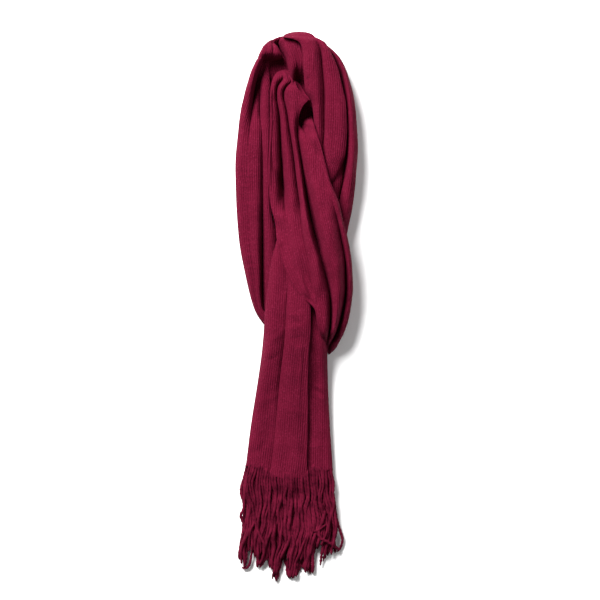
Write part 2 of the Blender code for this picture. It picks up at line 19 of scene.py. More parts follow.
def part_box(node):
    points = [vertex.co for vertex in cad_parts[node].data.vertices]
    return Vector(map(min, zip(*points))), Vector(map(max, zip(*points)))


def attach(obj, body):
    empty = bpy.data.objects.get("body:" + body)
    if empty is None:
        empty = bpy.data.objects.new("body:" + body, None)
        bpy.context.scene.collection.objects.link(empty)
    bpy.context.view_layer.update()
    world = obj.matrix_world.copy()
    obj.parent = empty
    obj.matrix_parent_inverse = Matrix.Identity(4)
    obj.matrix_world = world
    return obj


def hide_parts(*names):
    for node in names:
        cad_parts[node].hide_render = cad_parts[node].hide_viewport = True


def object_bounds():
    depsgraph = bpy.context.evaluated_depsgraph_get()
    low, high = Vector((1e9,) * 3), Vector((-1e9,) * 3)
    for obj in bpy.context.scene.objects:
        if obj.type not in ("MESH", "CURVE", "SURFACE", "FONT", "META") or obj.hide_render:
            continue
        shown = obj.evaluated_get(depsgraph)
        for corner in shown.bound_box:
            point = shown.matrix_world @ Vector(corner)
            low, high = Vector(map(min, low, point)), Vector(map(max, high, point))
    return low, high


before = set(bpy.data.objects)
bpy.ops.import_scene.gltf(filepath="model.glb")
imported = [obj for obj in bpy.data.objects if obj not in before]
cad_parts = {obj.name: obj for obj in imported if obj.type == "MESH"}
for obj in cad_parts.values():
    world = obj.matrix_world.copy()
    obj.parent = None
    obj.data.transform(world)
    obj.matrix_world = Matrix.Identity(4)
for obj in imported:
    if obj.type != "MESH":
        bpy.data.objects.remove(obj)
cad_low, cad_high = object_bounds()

MM = 0.001  # metres
WIDEST_X = 67  # of the solids, on the right
TOP_Y = 487.5  # of the solids, at the top of the loop
SHIFT = np.array([cad_high.x / MM - WIDEST_X, cad_high.y / MM - TOP_Y, 0])
UP = Vector((0, 0, 1))
BELOW = -50  # well under the floor
ABOVE = 200  # well over the scarf
ANY_PHASE = 6.28

# Skin: its rows run across a stretch and its columns along it
ROW = 2  # longest distance between two rows
SIDEWAYS = 0.6  # weight of a sideways step
EASE_PASSES = 4  # times that the rows are evened out
CLOTH = 2  # thickness of the knit
LEAST_STACK = 2 * CLOTH + 0.5  # least height over what it lies on
THIN_AT_SIDES = 0.4  # share that it loses at the sides
SIDE_ZONE = 1 / 6  # width of that zone, as a share
UNDER_POINTS = 24
UNDER_INSET = 1.5  # of the underside, inside the outline
UNDER_INSET_SHARE = 0.1  # and at most this share of the width
SEAM = 0.3  # slit below, between its long edges
PROBE_INSET = 0.05  # of the end rays, from the solid's ends
ON_FLOOR = 0.05  # least height of any point
END_OPEN = 0.02  # size of the last ring, as a share
LEAST_WIDTH = 1e-6  # metres: narrower faces are left out
MERGE = 2e-6  # metres

# Folds
ACROSS = 0.5 - 0.5 * np.cos(np.linspace(0, math.pi, 81))  # closer together at the creases
FOLD_FLATNESS = 2.2  # higher is flatter
FOLD_FULLNESS = 0.8  # lower is fuller
DIP = 5  # extra depth of a crease
DIP_WIDTH = 2.6
DIP_FULL_CUT = 3  # least cut of a crease with the full dip
DIP_FULL_ROOM = 8  # and its least distance from the next
FREE_FROM_EDGE = 5  # where the cloth takes a wrinkle's full height
FEATHER_EDGE = -1.5  # height of a soft side's edge

# Layered sides of a folded stretch
LAYERS = 3
LAYER_POINTS = 25
LAYER_FLATNESS = 2.6  # higher is flatter
LAYER_FULLNESS = 0.6  # lower is fuller
TOP_LAYER_TURN = 0.45  # share of the top layer that carries on the fold
GROOVE = 3.2  # depth between two layers
GROOVED_WIDTH = 20  # least width of a stretch with full grooves
GROOVED_HEIGHT = 9  # and least height of such a side
SIDE_SHARE = 0.62  # height of a side's top, as a share of the fold's
LEAST_SIDE = 0.6  # and at least this share of LEAST_STACK
STAGGER = 1.5  # how far a lower layer may lie further in
WAVER = 0.07  # of a layer's level, as a share of the side

# How those waves run: radians to a millimetre lengthwise, to a layer and to a side
WAVER_WAVE = (0.031, 1.9, 1)
STAGGER_WAVE = (0.045, 2.3, 2)

# Ribs
RIB = 2.5  # from rib to rib
RIB_STEPS = 6  # points across one rib
RIB_DEPTH = 0.5
RIB_ROUNDNESS = 0.8  # lower is rounder
RIB_MIDDLE = 0.6  # share of a rib below the smooth cloth
RIB_UNEVEN = 0.25  # how much ribs differ in depth
RIB_ON_SIDE = 0.3  # share of the depth on steep sides
RIB_STEEP = (1.5, 0.2)  # factor and addend for a normal
RIB_END_ROOM = 1.2  # they fade out over it at a groove
NORMAL_REACH = 0.4
NO_LENGTH = 1e-9

# Unevenness over the whole cloth: a number of waves of mixed lengths
Unevenness = namedtuple("Unevenness", "height waves shortest longest seed")
RIB_PATCHES = Unevenness(0.35, 8, 20, 60, 1)
BILLOW = Unevenness(0.4, 14, 16, 70, 2)
HEM_WAVE = Unevenness(1.1, 14, 3.5, 12, 3)
PLEAT = Unevenness(0.55, 12, 9, 22, 4)
PLEAT_STRETCH = 9  # length of a pleat, in widths

# Hem: how far above the hem line the cloth ends and the yarns begin, at an x
HEM_LIFT = [(-60, 12), (-46, 12), (-38, 3), (-30, 0), (9, 0), (14, 5), (30, 8), (40, 8)]
HEM_LIFTED = 40  # distance over which the cloth is drawn up
HEM_WAVED_FROM = 6  # y at which its edge starts to waver
HEM_WAVED_OVER = 8
HEM_TURN_IN = (1.2, 2.4, 3.4)  # its last rows, below the hem line
HEM_DRAWN_IN = 0.985  # size of its last ring

# One section across a stretch. y: distance up from the hem line. edges: x of the left
# side, of each crease and of the right side. crowns: height of each fold between them.
# cuts: depth of each crease below the lower of the two folds beside it, if any.
Section = namedtuple("Section", "y edges crowns cuts")


def make_section(y, edges, crowns, cuts=None):
    return Section(y, edges, crowns, cuts or (0,) * (len(crowns) - 1))


NECK_FOLD = [
    (484.5, (-19, -15, -6, 0), (17, 22, 22)),
    (481, (-25, -18, -6, 3), (19, 26, 25)),
    (478, (-29, -19.5, -5.5, 5.5), (19, 27, 27)),
    (476, (-30, -21.5, -5, 7), (13, 27, 28)),
    (473, (-30, -20.2, -4, 8), (7, 28, 28), (1, 0)),
    (467, (-34, -16.8, -3, 9), (6, 29, 28.5), (1, 0)),
    (462, (-38, -14.6, -1, 10), (5, 29, 29), (1, 0)),
    (456, (-41, -12.2, 0.5, 10.5), (5, 29, 28.5), (1, 0)),
    (450, (-42, -10.5, 0.5, 11), (4.5, 29, 27)),
    (445, (-42, -9, 0, 12), (4.5, 28, 23)),
    (441, (-41, -8, 0, 13), (4.5, 25, 17)),
    (437, (-41, -7, 0, 13), (4.5, 18, 11)),
    (433, (-40, -6.5, 0, 14), (4.5, 11, 7)),
    (429, (-39, -6, 0, 15.5), (4.5, 4.5, 4.5)),
    (420, (-37, -4, 3, 18), (4.5, 4.5, 4.5)),
    (402, (-35, -1, 8, 21), (4.5, 5, 4.5)),
    (382, (-30, 1, 10, 22), (4.5, 4.5, 4.5)),
]

LEFT_STRAND = [
    (480.5, (-27, -26, -25, -24), (17, 16, 15)),
    (478, (-31, -29.5, -28, -26.5), (22, 20, 17)),
    (476, (-33.8, -31, -28.5, -26.5), (25, 23, 18)),
    (474.5, (-35.3, -31, -27, -23.5), (26, 25, 20)),
    (472, (-37.3, -32, -26.5, -21), (27, 27, 23)),
    (468, (-39.7, -33, -26, -18.8), (28, 28, 25)),
    (464.5, (-41.3, -34, -26, -17.2), (28, 28, 26)),
    (461.5, (-42.7, -35.5, -27, -15.5), (28, 27, 25)),
    (460, (-43.3, -36, -28, -15), (28, 23, 24)),
    (458.5, (-44, -36.5, -29, -16), (28, 14, 17)),
    (457.2, (-44.6, -37, -31.5, -20), (28, 8, 9)),
    (456, (-45.1, -37.5, -34, -27), (28, 7, 7)),
    (454.5, (-45.8, -38, -36, -31.5), (28, 7, 7)),
    (450, (-48, -39.5, -37, -31), (27.5, 7, 9)),
    (444, (-51, -42, -38.5, -30), (27, 7, 12)),
    (437, (-53, -44, -40, -29.5), (27, 7, 16), (1, 1)),
    (424, (-57, -46.5, -41, -29), (26, 8, 20), (2, 1)),
    (412, (-59.7, -48.5, -41, -28.7), (26, 13, 22), (2, 2)),
    (402, (-62, -50, -41, -28.5), (26, 18, 23), (2, 3)),
    (378, (-65, -52, -39, -28), (25, 25, 24), (1, 1.5)),
    (340, (-68, -54, -38, -28), (25, 25, 24), (0, 3)),
    (300, (-67, -53, -38, -28), (24, 25, 23), (0, 5)),
    (259, (-64, -51, -38, -22), (22, 24, 21), (0, 9)),
    (220, (-57, -47, -38, -18), (20, 22, 19), (0, 9)),
    (182, (-47, -42, -37, 2), (17, 18, 17), (0, 5)),
    (165, (-36, -20, -8, 30), (14, 16, 16)),
    (149, (-10, 0, 10, 31), (12, 14, 14)),
    (136, (14, 20, 25, 31), (9, 10, 10)),
]

RIGHT_STRAND_LOWER = [
    (480, (9, 15, 23), (22, 21)),
    (472, (11, 26, 35), (26, 26), (2,)),
    (457, (14, 42, 49), (26, 29), (2,)),
    (434, (20, 50, 58), (26, 32), (3,)),
    (407, (23, 53, 64), (25, 33), (3,)),
    (358, (25, 54, 67), (22, 33), (3,)),
    (330, (30, 52, 65), (27.5, 32), (4,)),
    (300, (34, 46, 62), (26.5, 29), (4,)),
    (270, (30, 42, 56), (22, 26), (4,)),
    (246, (28, 38, 51), (17, 21), (3,)),
]

RIGHT_STRAND_UPPER = [
    (489, (-8, 6, 10), (23, 22)),
    (485, (-15, 12, 17), (30, 28)),
    (481.3, (-18.5, 17, 21), (35, 31)),
    (479, (-6, 19, 25), (38, 33)),
    (476, (1.6, 21, 31), (41, 36), (1,)),
    (467, (6, 26, 36), (43, 38), (3,)),
    (446, (7, 28, 45), (43, 38), (2,)),
    (421, (9.4, 30, 51), (42, 39), (2,)),
    (413, (15, 30, 53), (41, 39), (2,)),
    (406, (17, 30, 54), (40, 39), (2,)),
    (380, (19, 30, 55), (37, 38), (2,)),
    (350, (20, 28, 53), (34, 36), (2,)),
    (336, (24, 32, 48), (33, 34)),
    (320, (30, 33, 38), (31, 31)),
]

TAIL_BACK = [
    (240, (0, 12, 30), (20, 20)),
    (204, (-1, 12, 26), (27, 27)),
    (182, (-1, 8, 22.5), (33, 33)),
    (165, (0, 10, 25), (35, 34)),
    (149, (0, 13, 30.5), (34, 33)),
    (139, (1, 14, 33), (32, 30)),
    (131, (1, 16, 33.4), (30, 28)),
    (105, (-2, 16, 34), (24, 21), (0.5,)),
    (61, (-4, 16, 36), (17, 16), (0.5,)),
    (0, (-5.5, 16, 40), (13, 13), (0.5,)),
]

TAIL_FRONT = [
    (286, (-20, -15, -10), (24, 24)),
    (272, (-20, -14, -6), (29, 29)),
    (260, (-22, -13, 0), (33, 33)),
    (248, (-25.3, -12, 4), (35, 35), (1,)),
    (234, (-28.6, -11, 9), (37, 38.5), (1.5,)),
    (214, (-31, -10.5, 12), (38, 41), (1.5,)),
    (198, (-33, -11, 14), (38, 42), (1.3,)),
    (182, (-35, -12, 15), (38, 43), (1.3,)),
    (160, (-36.5, -13, 15), (37, 42), (1.3,)),
    (138, (-38.5, -15, 13), (33, 38), (1.3,)),
    (105, (-43, -19, 12), (26, 31), (1.2,)),
    (61, (-50, -23, 12), (19, 24), (1,)),
    (39, (-53, -25, 11.5), (17, 21), (1,)),
    (15, (-56, -28, 11), (15, 19), (1,)),
    (0, (-60, -30, 11), (15, 19), (1,)),
]

FRONT_STRAND = [
    (447, (-19, -17, -14, -12, -10, -8), (9, 9, 9, 9, 8)),
    (444, (-22.5, -17, -12, -10, -8, -6), (14, 14, 12, 10, 9)),
    (440, (-25.8, -16, -9.5, -7.5, -5.5, -4), (18, 18, 14, 9, 8)),
    (437, (-26.8, -14.5, -8, -5.5, -3.5, -1.5), (20, 19, 17, 9, 8), (2, 0, 0, 0)),
    (434, (-27.6, -17.5, -5, -2.5, -1, 0.5), (21, 20, 18, 9, 8), (4, 1, 0, 0)),
    (431.5, (-28.2, -19.8, -7.5, -3, -1.5, 2), (21, 21.5, 22, 16, 8), (5, 3, 0, 0)),
    (429, (-28.6, -21, -10.2, -2, -0.5, 4), (21, 23, 26, 26, 7), (5, 4, 0, 0)),
    (425.5, (-29, -22, -13.2, -0.4, 1.1, 6.5), (21, 24, 29, 29, 7), (5, 5, 0, 0)),
    (421, (-29.4, -22.4, -14.6, 2.6, 4.1, 9), (21, 24, 30, 30, 7), (5, 5, 0, 0)),
    (416, (-29.7, -22.4, -14.6, 8, 9.5, 12), (21, 24, 30, 30, 7), (5, 5, 0, 0)),
    (412, (-29.7, -22, -14, 13.2, 14.7, 15.6), (21, 24, 31, 31, 7), (4, 5, 0, 0)),
    (409.5, (-29.6, -21.5, -13.2, 8.9, 10.4, 15.2), (22, 24, 31, 31, 7), (4, 5, 0, 0)),
    (405, (-29.5, -20.8, -12, 5.1, 6.6, 15.5), (22, 24, 31, 30, 7), (5, 5, 0, 0)),
    (399, (-29.5, -19.9, -10.8, 2.3, 3.8, 16.5), (22, 24, 31, 29, 7), (6, 5, 0, 0)),
    (393, (-29.5, -19, -9.8, 0.6, 2.1, 17), (23, 24, 31, 27, 7), (7, 4, 0, 0)),
    (388, (-29.5, -18.8, -9.2, -0.2, 1.3, 18), (23, 24, 31, 24, 9), (8, 4, 1, 0)),
    (383, (-29.5, -18.6, -8.5, 0, 4, 19.5), (23, 25, 31, 24, 15), (9, 5, 2, 2)),
    (377, (-29.6, -18.3, -7.5, 0.3, 10, 21.5), (23, 25, 31, 26, 24), (9, 5, 4, 2)),
    (368, (-30, -18, -6, 1.5, 18, 24.5), (24, 25, 32, 33, 32), (10, 5, 7, 0)),
    (347, (-31, -17, -3, 5, 25, 30), (24, 27, 35, 42, 41), (12, 5, 11, 0)),
    (321, (-31, -15, 0, 9, 32, 37), (26, 29, 40, 47, 46), (14, 4, 15, 0)),
    (299, (-29.5, -14, 3, 12.5, 39, 46), (28, 33, 45, 51, 49), (6, 3, 18, 0.5)),
    (277, (-24, -11, 5, 17, 45, 51), (35, 38, 49, 53, 48), (2, 1, 18, 3)),
    (263, (-22.5, -9, 7, 20.5, 48, 55), (38, 42, 50, 54, 45), (1, 1, 18, 5)),
    (230, (-14, -1, 14, 29, 53.5, 60.5), (44, 46, 51, 51, 40), (0, 0, 13, 9)),
    (204, (-1, 7, 18, 35.5, 54, 61.5), (45, 46, 48, 47, 36), (0, 0, 13, 12)),
    (193, (9, 13, 20, 37.3, 52.5, 60.4), (43, 43, 46, 45, 34), (0, 0, 13, 13)),
    (182, (19.6, 20.6, 21.6, 37.6, 50.6, 59), (43, 44, 46, 43, 33), (0, 0, 13, 13)),
    (165, (22.5, 23.5, 24.5, 36.8, 46.5, 55), (41, 42, 44.5, 40, 30), (0, 0, 13, 13)),
    (155, (25.5, 26.5, 27.5, 34.8, 42.8, 51.3), (37, 39, 41.5, 36, 28), (0, 0, 13, 12)),
    (149, (29, 29.8, 30.6, 32.8, 40, 48.2), (18, 22, 30, 29, 23), (0, 0, 6, 9)),
    (144, (31.3, 31.9, 32.5, 33.5, 36, 45.5), (11, 14, 18, 22, 20), (0, 0, 2, 5)),
    (139, (32.5, 33, 33.5, 34, 34.6, 43), (7, 8, 8, 9, 14)),
    (132, (33.5, 34, 34.5, 35, 35.5, 37), (6, 6, 6, 6, 6)),
]

# A wrinkle: its middle, the direction it runs in (degrees from +x), its
# half length, half width and height, which is negative for a trough.
Wrinkle = namedtuple("Wrinkle", "x y turn length width height")
WRINKLE_BEND = 0.5  # how far its ends bend back, in half widths

# A side that thins out softly onto the cloth below it: left or right, over what width, and
# the y where it starts to thin, is thin, starts to thicken again and is thick.
Feather = namedtuple("Feather", "side width start thin_from thin_to finish")

# The run of shallow crosswise wrinkles down the panel of the left strand
PANEL_COUNT = 22
PANEL_TOP = 336
PANEL_PITCH = 6.3
PANEL_PLACES = (-55, -53, -51)  # x, in turn
PANEL_TURNS = (-3, 3)  # direction, in turn
PANEL_WRINKLES = [
    (PANEL_PLACES[k % 3], PANEL_TOP - PANEL_PITCH * k, PANEL_TURNS[k % 2], 11, 1.7, 0.5)
    for k in range(PANEL_COUNT)
]

TAIL_FRONT_WRINKLES = [
    (-10.5, 214, 88, 18, 1.4, 2), (-3, 176, -6, 9, 2.2, 0.9), (-1, 168, -10, 8, 2, -0.8),
    (-6, 161, 8, 10, 2.4, 0.8), (0, 151, 4, 9, 2.2, -0.7), (2, 140, -12, 8, 2, 0.6),
    (-24, 150, 35, 12, 3, 0.7), (-27, 128, 30, 12, 3, -0.7), (-30, 84, 20, 14, 3, 0.6),
    (-5, 70, -14, 16, 3.5, 0.6), (-38, 30, 60, 14, 3, -0.7),
]

TAIL_BACK_WRINKLES = [
    (22, 97, -28, 9, 1.5, 0.9), (25, 91, -32, 9, 1.4, -0.8), (24, 85, -30, 10, 1.5, 0.7),
    (26, 56, -14, 10, 2.4, -0.5), (20, 30, 10, 10, 2.4, 0.5),
]

LEFT_WRINKLES = [
    *PANEL_WRINKLES,
    (-54, 330, 3, 13, 2, 0.35), (-54, 312, -3, 12, 2.2, -0.35), (-52, 296, 4, 12, 2, 0.35),
    (-51, 279, -4, 12, 2, -0.35), (-50, 262, 3, 12, 2.2, 0.35), (-49, 246, -3, 11, 2, -0.35),
    (-47, 229, 4, 11, 2, 0.35), (-58, 405, 70, 16, 3, -0.8), (-33, 240, 80, 20, 3, 0.7),
]

RIGHT_LOWER_WRINKLES = [
    (58, 400, -20, 7, 1.1, -0.9), (58, 397, -18, 7, 1.2, 0.6), (60, 345, 75, 18, 3, 0.5),
    (57, 300, 60, 14, 2.5, -0.6),
]

RIGHT_UPPER_WRINKLES = [
    (29, 410, 92, 52, 4, -3.5), (40, 440, -68, 20, 2.6, -0.8), (46, 410, -75, 18, 2.4, 0.7),
    (38, 370, -50, 14, 2.4, -0.5), (36, 344, 40, 9, 2, 0.5), (18, 455, 85, 16, 1.6, 0.7),
    (9.5, 453, 15, 3.4, 1.2, 1.3), (10, 448.8, 4, 3.4, 1.2, 1.3), (10.5, 444.6, -7, 3.4, 1.2, 1.3),
    (11, 440.4, -18, 3.4, 1.2, 1.3), (9.5, 436.2, 11, 3.4, 1.2, 1.3), (10, 432, 0, 3.4, 1.2, 1.3),
    (10.5, 427.8, -11, 3.4, 1.2, 1.3), (12.5, 434, 60, 2.2, 1.2, -1.8),
    (13, 428, 100, 2.2, 1.2, -1.6),
]

FRONT_WRINKLES = [
    (19.5, 272, -77, 48, 5.2, -9.5), (11.5, 281, -77, 42, 2.8, 4.5), (12, 212, -74, 26, 5, -5.5),
    (-16.5, 317, 97, 15, 4, -12), (-14.5, 345, 84, 16, 2.4, -5), (30, 300, -66, 30, 3, 0.6),
    (38, 262, -70, 26, 2.6, -0.6), (22, 330, -62, 22, 2.4, -0.5), (46, 232, -80, 20, 2.6, 0.6),
    (-8, 330, -70, 26, 3, 0.8), (-16, 300, -60, 20, 3, -0.8), (-2, 282, -48, 18, 3, 0.7),
    (-24, 350, -84, 20, 2.6, 0.6),
]

FRONT_FEATHERS = [
    Feather("left", 24, 304, 252, 224, 198),
    Feather("left", 10, 240, 222, 198, 184),
]

# A stretch of cloth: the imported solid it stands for, its sections, the share of each fold
# where its ribs start from, how far its ends round off, its wrinkles and its soft sides.
# One that doesn't round off at its lower end has a hem there.
Stretch = namedtuple(
    "Stretch", "name sections starts round_top round_end wrinkles feathers", defaults=((), ())
)
STRETCHES = [
    Stretch("neck_fold", NECK_FOLD, (0.5, 0.5, 0), 4, 4),
    Stretch("left_strand", LEFT_STRAND, (0.5, 0, 0), 4, 5, LEFT_WRINKLES),
    Stretch("right_strand_lower", RIGHT_STRAND_LOWER, (0.5, 0.5), 4, 5, RIGHT_LOWER_WRINKLES),
    Stretch("right_strand_upper", RIGHT_STRAND_UPPER, (1, 0), 4, 5, RIGHT_UPPER_WRINKLES),
    Stretch("tail_back", TAIL_BACK, (1, 0), 5, 0, TAIL_BACK_WRINKLES),
    Stretch("tail_front", TAIL_FRONT, (1, 0), 5, 0, TAIL_FRONT_WRINKLES),
    Stretch("front_strand", FRONT_STRAND, (0.5, 0.5, 0, 0, 0.5), 4, 6, FRONT_WRINKLES, FRONT_FEATHERS),
]


def smoothstep(value):
    share = np.clip(value, 0, 1)
    return share * share * (3 - 2 * share)


def distance_along(points):
    """How far along a line each of its points lies."""
    steps = np.linalg.norm(np.diff(points, axis=0), axis=1)
    return np.concatenate([[0], np.cumsum(steps)])


def places_on(line, length, places, count=3):
    """The first columns of a line's points, at some distances along it."""
    return [np.interp(places, length, line[:, k]) for k in range(count)]


def at_place(table, place):
    """The second value in a table of pairs, at a place among the first ones."""
    return np.interp(place, *zip(*table))


def packed_point(x, y, z):
    return Vector((np.array([x, y, z]) + SHIFT) * MM)


def solid_tree(node):
    """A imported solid, ready to be met by rays."""
    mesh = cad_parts[node].data
    corners = [vertex.co.copy() for vertex in mesh.vertices]
    return BVHTree.FromPolygons(corners, [tuple(face.vertices) for face in mesh.polygons])


class Underside:
    """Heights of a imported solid's underside."""

    def __init__(self, node):
        self.tree = solid_tree(node)
        low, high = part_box(node)
        self.first_y = low.y / MM - SHIFT[1] + PROBE_INSET
        self.last_y = high.y / MM - SHIFT[1] - PROBE_INSET

    def heights(self, xs, y):
        y = min(max(y, self.first_y), self.last_y)
        hits = [self.tree.ray_cast(packed_point(x, y, BELOW), UP)[0] for x in xs]
        found = np.array([np.nan if hit is None else hit.z / MM for hit in hits])
        known = ~np.isnan(found)
        if not known.any():
            return np.zeros(len(xs))
        return np.interp(xs, xs[known], found[known])


def smooth_rows(table):
    """Smooth rows through a table's sections, ROW or less apart, without overshoot."""
    sections = [make_section(*row) for row in table]
    y = np.array([s.y for s in sections], float)
    numbers = np.array([[*s.edges, *s.crowns, *s.cuts] for s in sections], float)
    gaps = np.diff(y)
    secants = np.diff(numbers, axis=0) / gaps[:, None]
    slopes = np.zeros_like(numbers)
    slopes[0], slopes[-1] = secants[0], secants[-1]
    before, after = secants[:-1], secants[1:]
    together = before + after
    same_way = before * after > 0
    slopes[1:-1] = np.where(same_way, 2 * before * after / np.where(same_way, together, 1), 0)
    edges, crowns = len(sections[0].edges), len(sections[0].crowns)
    rows = []
    for i, gap in enumerate(gaps):
        sideways = np.abs(numbers[i + 1, :edges] - numbers[i, :edges]).max()
        steps = math.ceil(max(abs(gap), SIDEWAYS * sideways) / ROW)
        for k in range(steps + (i == len(gaps) - 1)):
            s = k / steps
            row = (
                (2 * s**3 - 3 * s**2 + 1) * numbers[i]
                + (s**3 - 2 * s**2 + s) * gap * slopes[i]
                + (3 * s**2 - 2 * s**3) * numbers[i + 1]
                + (s**3 - s**2) * gap * slopes[i + 1]
            )
            rows.append(Section(y[i] + s * gap, *np.split(row, [edges, edges + crowns])))
    return rows


def fold_shape(t):
    """Height of a fold, 0 at its creases and 1 at its crown, at t from 0 to 1 across it."""
    return (1 - np.abs(2 * t - 1) ** FOLD_FLATNESS) ** FOLD_FULLNESS


def crease_share(x, row):
    """Nearness of the creases between the folds, from 0 to 1."""
    share = np.zeros(len(x))
    for crease, cut, left, right in zip(row.edges[1:-1], row.cuts, row.edges, row.edges[2:]):
        room = min(crease - left, right - crease)
        deep = smoothstep(cut / DIP_FULL_CUT) * smoothstep(room / DIP_FULL_ROOM)
        share = np.maximum(share, deep * np.exp(-np.abs(x - crease) / DIP_WIDTH))
    return share


def feather_share(feather, y):
    """How soft a side is at y, from 0 to 1."""
    thinning = smoothstep((feather.start - y) / (feather.start - feather.thin_from))
    thickening = smoothstep((y - feather.finish) / (feather.thin_to - feather.finish))
    return float(thinning * thickening)


def fold_tops(row, feet, rest_x, rest_z, feathers):
    """The tops of a ring's folds, from left to right, as points (x, z, freedom)."""
    left, right = row.edges[0], row.edges[-1]
    tops = []
    for k, crown in enumerate(row.crowns):
        x = row.edges[k] + ACROSS * (row.edges[k + 1] - row.edges[k])
        foot = np.where(ACROSS < 0.5, feet[k], feet[k + 1])
        z = foot + (crown - foot) * fold_shape(ACROSS) - DIP * crease_share(x, row)
        rest = np.interp(x, rest_x, rest_z)
        from_side = np.minimum(x - left, right - x)
        at_side = 1 - np.clip(from_side / (SIDE_ZONE * (right - left)), 0, 1)
        z = np.maximum(z, rest + (1 - THIN_AT_SIDES * at_side) * LEAST_STACK)
        for feather in feathers:
            inside = x - left if feather.side == "left" else right - x
            thin = rest + FEATHER_EDGE
            soft = thin + (z - thin) * smoothstep(inside / feather.width)
            z = z + feather_share(feather, row.y) * (soft - z)
        tops.append(np.column_stack([x, z, smoothstep(from_side / FREE_FROM_EDGE)]))
    return tops


def side_top(side, rest, crown, y, feathers):
    """Height at which a side's fold turns over into its layers."""
    top = max(rest + SIDE_SHARE * (crown - rest), rest + LEAST_SIDE * LEAST_STACK)
    for feather in feathers:
        if feather.side == side:
            top += feather_share(feather, y) * (rest + FEATHER_EDGE - top)
    return top


def layer_wave(wave, y, layer, inward):
    return math.sin(wave[0] * y + wave[1] * layer + wave[2] * inward)


def layered_side(edge, inward, top, rest, y, width):
    """The layers of one side from the top down, each as points (x, z, freedom)."""
    deep = min(1, width / GROOVED_WIDTH) * min(1, (top - rest) / GROOVED_HEIGHT)
    levels = [top]
    for layer in range(1, LAYERS):
        share = layer / LAYERS + WAVER * layer_wave(WAVER_WAVE, y, layer, inward)
        levels.append(top - share * (top - rest))
    levels.append(rest)
    down = np.linspace(0, 1, LAYER_POINTS)
    parts = []
    for layer in range(LAYERS):
        if layer == 0:
            back = 0
            off_middle = np.clip((down - TOP_LAYER_TURN) / (1 - TOP_LAYER_TURN), 0, 1)
        else:
            back = STAGGER * (1 + layer_wave(STAGGER_WAVE, y, layer, inward)) / 2
            off_middle = np.abs(2 * down - 1)
        bulge = (1 - off_middle**LAYER_FLATNESS) ** LAYER_FULLNESS
        x = edge + inward * deep * (back * bulge + GROOVE * (1 - bulge))
        z = levels[layer] + down * (levels[layer + 1] - levels[layer])
        parts.append(np.column_stack([x, z, np.zeros(LAYER_POINTS)]))
    return parts


def ring_parts(row, underside, feathers):
    """The parts of a ring between its creases, from the seam below, round by the left.

    Their points are (x, z, freedom). Freedom is the share of a wrinkle that the cloth takes
    there: 1 on top, 0 on the sides and below.
    """
    left, right = row.edges[0], row.edges[-1]
    width = right - left
    inset = min(UNDER_INSET, UNDER_INSET_SHARE * width)
    under_x = np.linspace(left + inset, right - inset, UNDER_POINTS)
    under_z = underside.heights(under_x, row.y)
    left_top = side_top("left", under_z[0], row.crowns[0], row.y, feathers)
    right_top = side_top("right", under_z[-1], row.crowns[-1], row.y, feathers)
    left_side = layered_side(left, 1, left_top, under_z[0], row.y, width)
    right_side = layered_side(right, -1, right_top, under_z[-1], row.y, width)
    valleys = np.minimum(row.crowns[:-1], row.crowns[1:]) - row.cuts
    tops = fold_tops(row, [left_top, *valleys, right_top], under_x, under_z, feathers)

    half = UNDER_POINTS // 2
    middle = (left + right) / 2
    under = np.column_stack([under_x, under_z, np.zeros(UNDER_POINTS)])
    left_end = [[middle - SEAM / 2, under_z[half], 0]]
    right_end = [[middle + SEAM / 2, under_z[half], 0]]
    left_under = np.vstack([under[:half], left_end])[::-1]
    right_under = np.vstack([right_end, under[half:]])[::-1]
    parts = [np.vstack([left_under, left_side[-1][::-1]])]
    parts += [part[::-1] for part in left_side[-2:0:-1]]
    parts.append(np.vstack([left_side[0][::-1], tops[0]]))
    parts += tops[1:-1]
    parts.append(np.vstack([tops[-1], right_side[0]]))
    parts += right_side[1:-1]
    parts.append(np.vstack([right_side[-1], right_under]))
    return parts


def start_shares(stretch):
    """Where its ribs start along each part of a ring, as a share."""
    between = [0.5] * (LAYERS - 2)
    return [1, *between, *stretch.starts, *between, 0]


def walk(line, length, distance):
    """x, z, normal, room to the nearer end and freedom, at some distances along a part."""
    s = np.clip(distance, 0, length[-1])
    near = np.clip(s - NORMAL_REACH, 0, length[-1])
    far = np.clip(s + NORMAL_REACH, 0, length[-1])
    x, z, free = places_on(line, length, s)
    dx, dz = np.subtract(places_on(line, length, far, 2), places_on(line, length, near, 2))
    size = np.maximum(np.hypot(dx, dz), NO_LENGTH)
    return np.column_stack([x, z, -dz / size, dx / size, np.minimum(s, length[-1] - s), free])


def ease(rows):
    """Each row but the end ones evened out with its neighbours."""
    for _ in range(EASE_PASSES):
        between = (rows[:-2] + 2 * rows[1:-1] + rows[2:]) / 4
        rows = np.concatenate([rows[:1], between, rows[-1:]])
    return rows


def knit_columns(stretch, rows):
    """Numbers of a skin's columns, and what walk gives there, eased but for the freedom."""
    underside = Underside(stretch.name)
    rings = [ring_parts(row, underside, stretch.feathers) for row in rows]
    step = RIB / RIB_STEPS
    all_numbers, all_points = [], []
    for part, share in enumerate(start_shares(stretch)):
        lines = [ring[part] for ring in rings]
        lengths = [distance_along(line[:, :2]) for line in lines]
        starts = [share * length[-1] for length in lengths]
        before = math.ceil(max(starts) / step) + 1
        after = math.ceil(max(length[-1] - start for length, start in zip(lengths, starts)) / step) + 1
        numbers = np.arange(-before, after + 1)
        walked = []
        for line, length, start in zip(lines, lengths, starts):
            walked.append(walk(line, length, start + numbers * step))
        all_numbers.append(numbers)
        all_points.append(walked)
    points = np.concatenate(all_points, axis=1)
    points[..., :5] = ease(points[..., :5])
    return np.concatenate(all_numbers), points


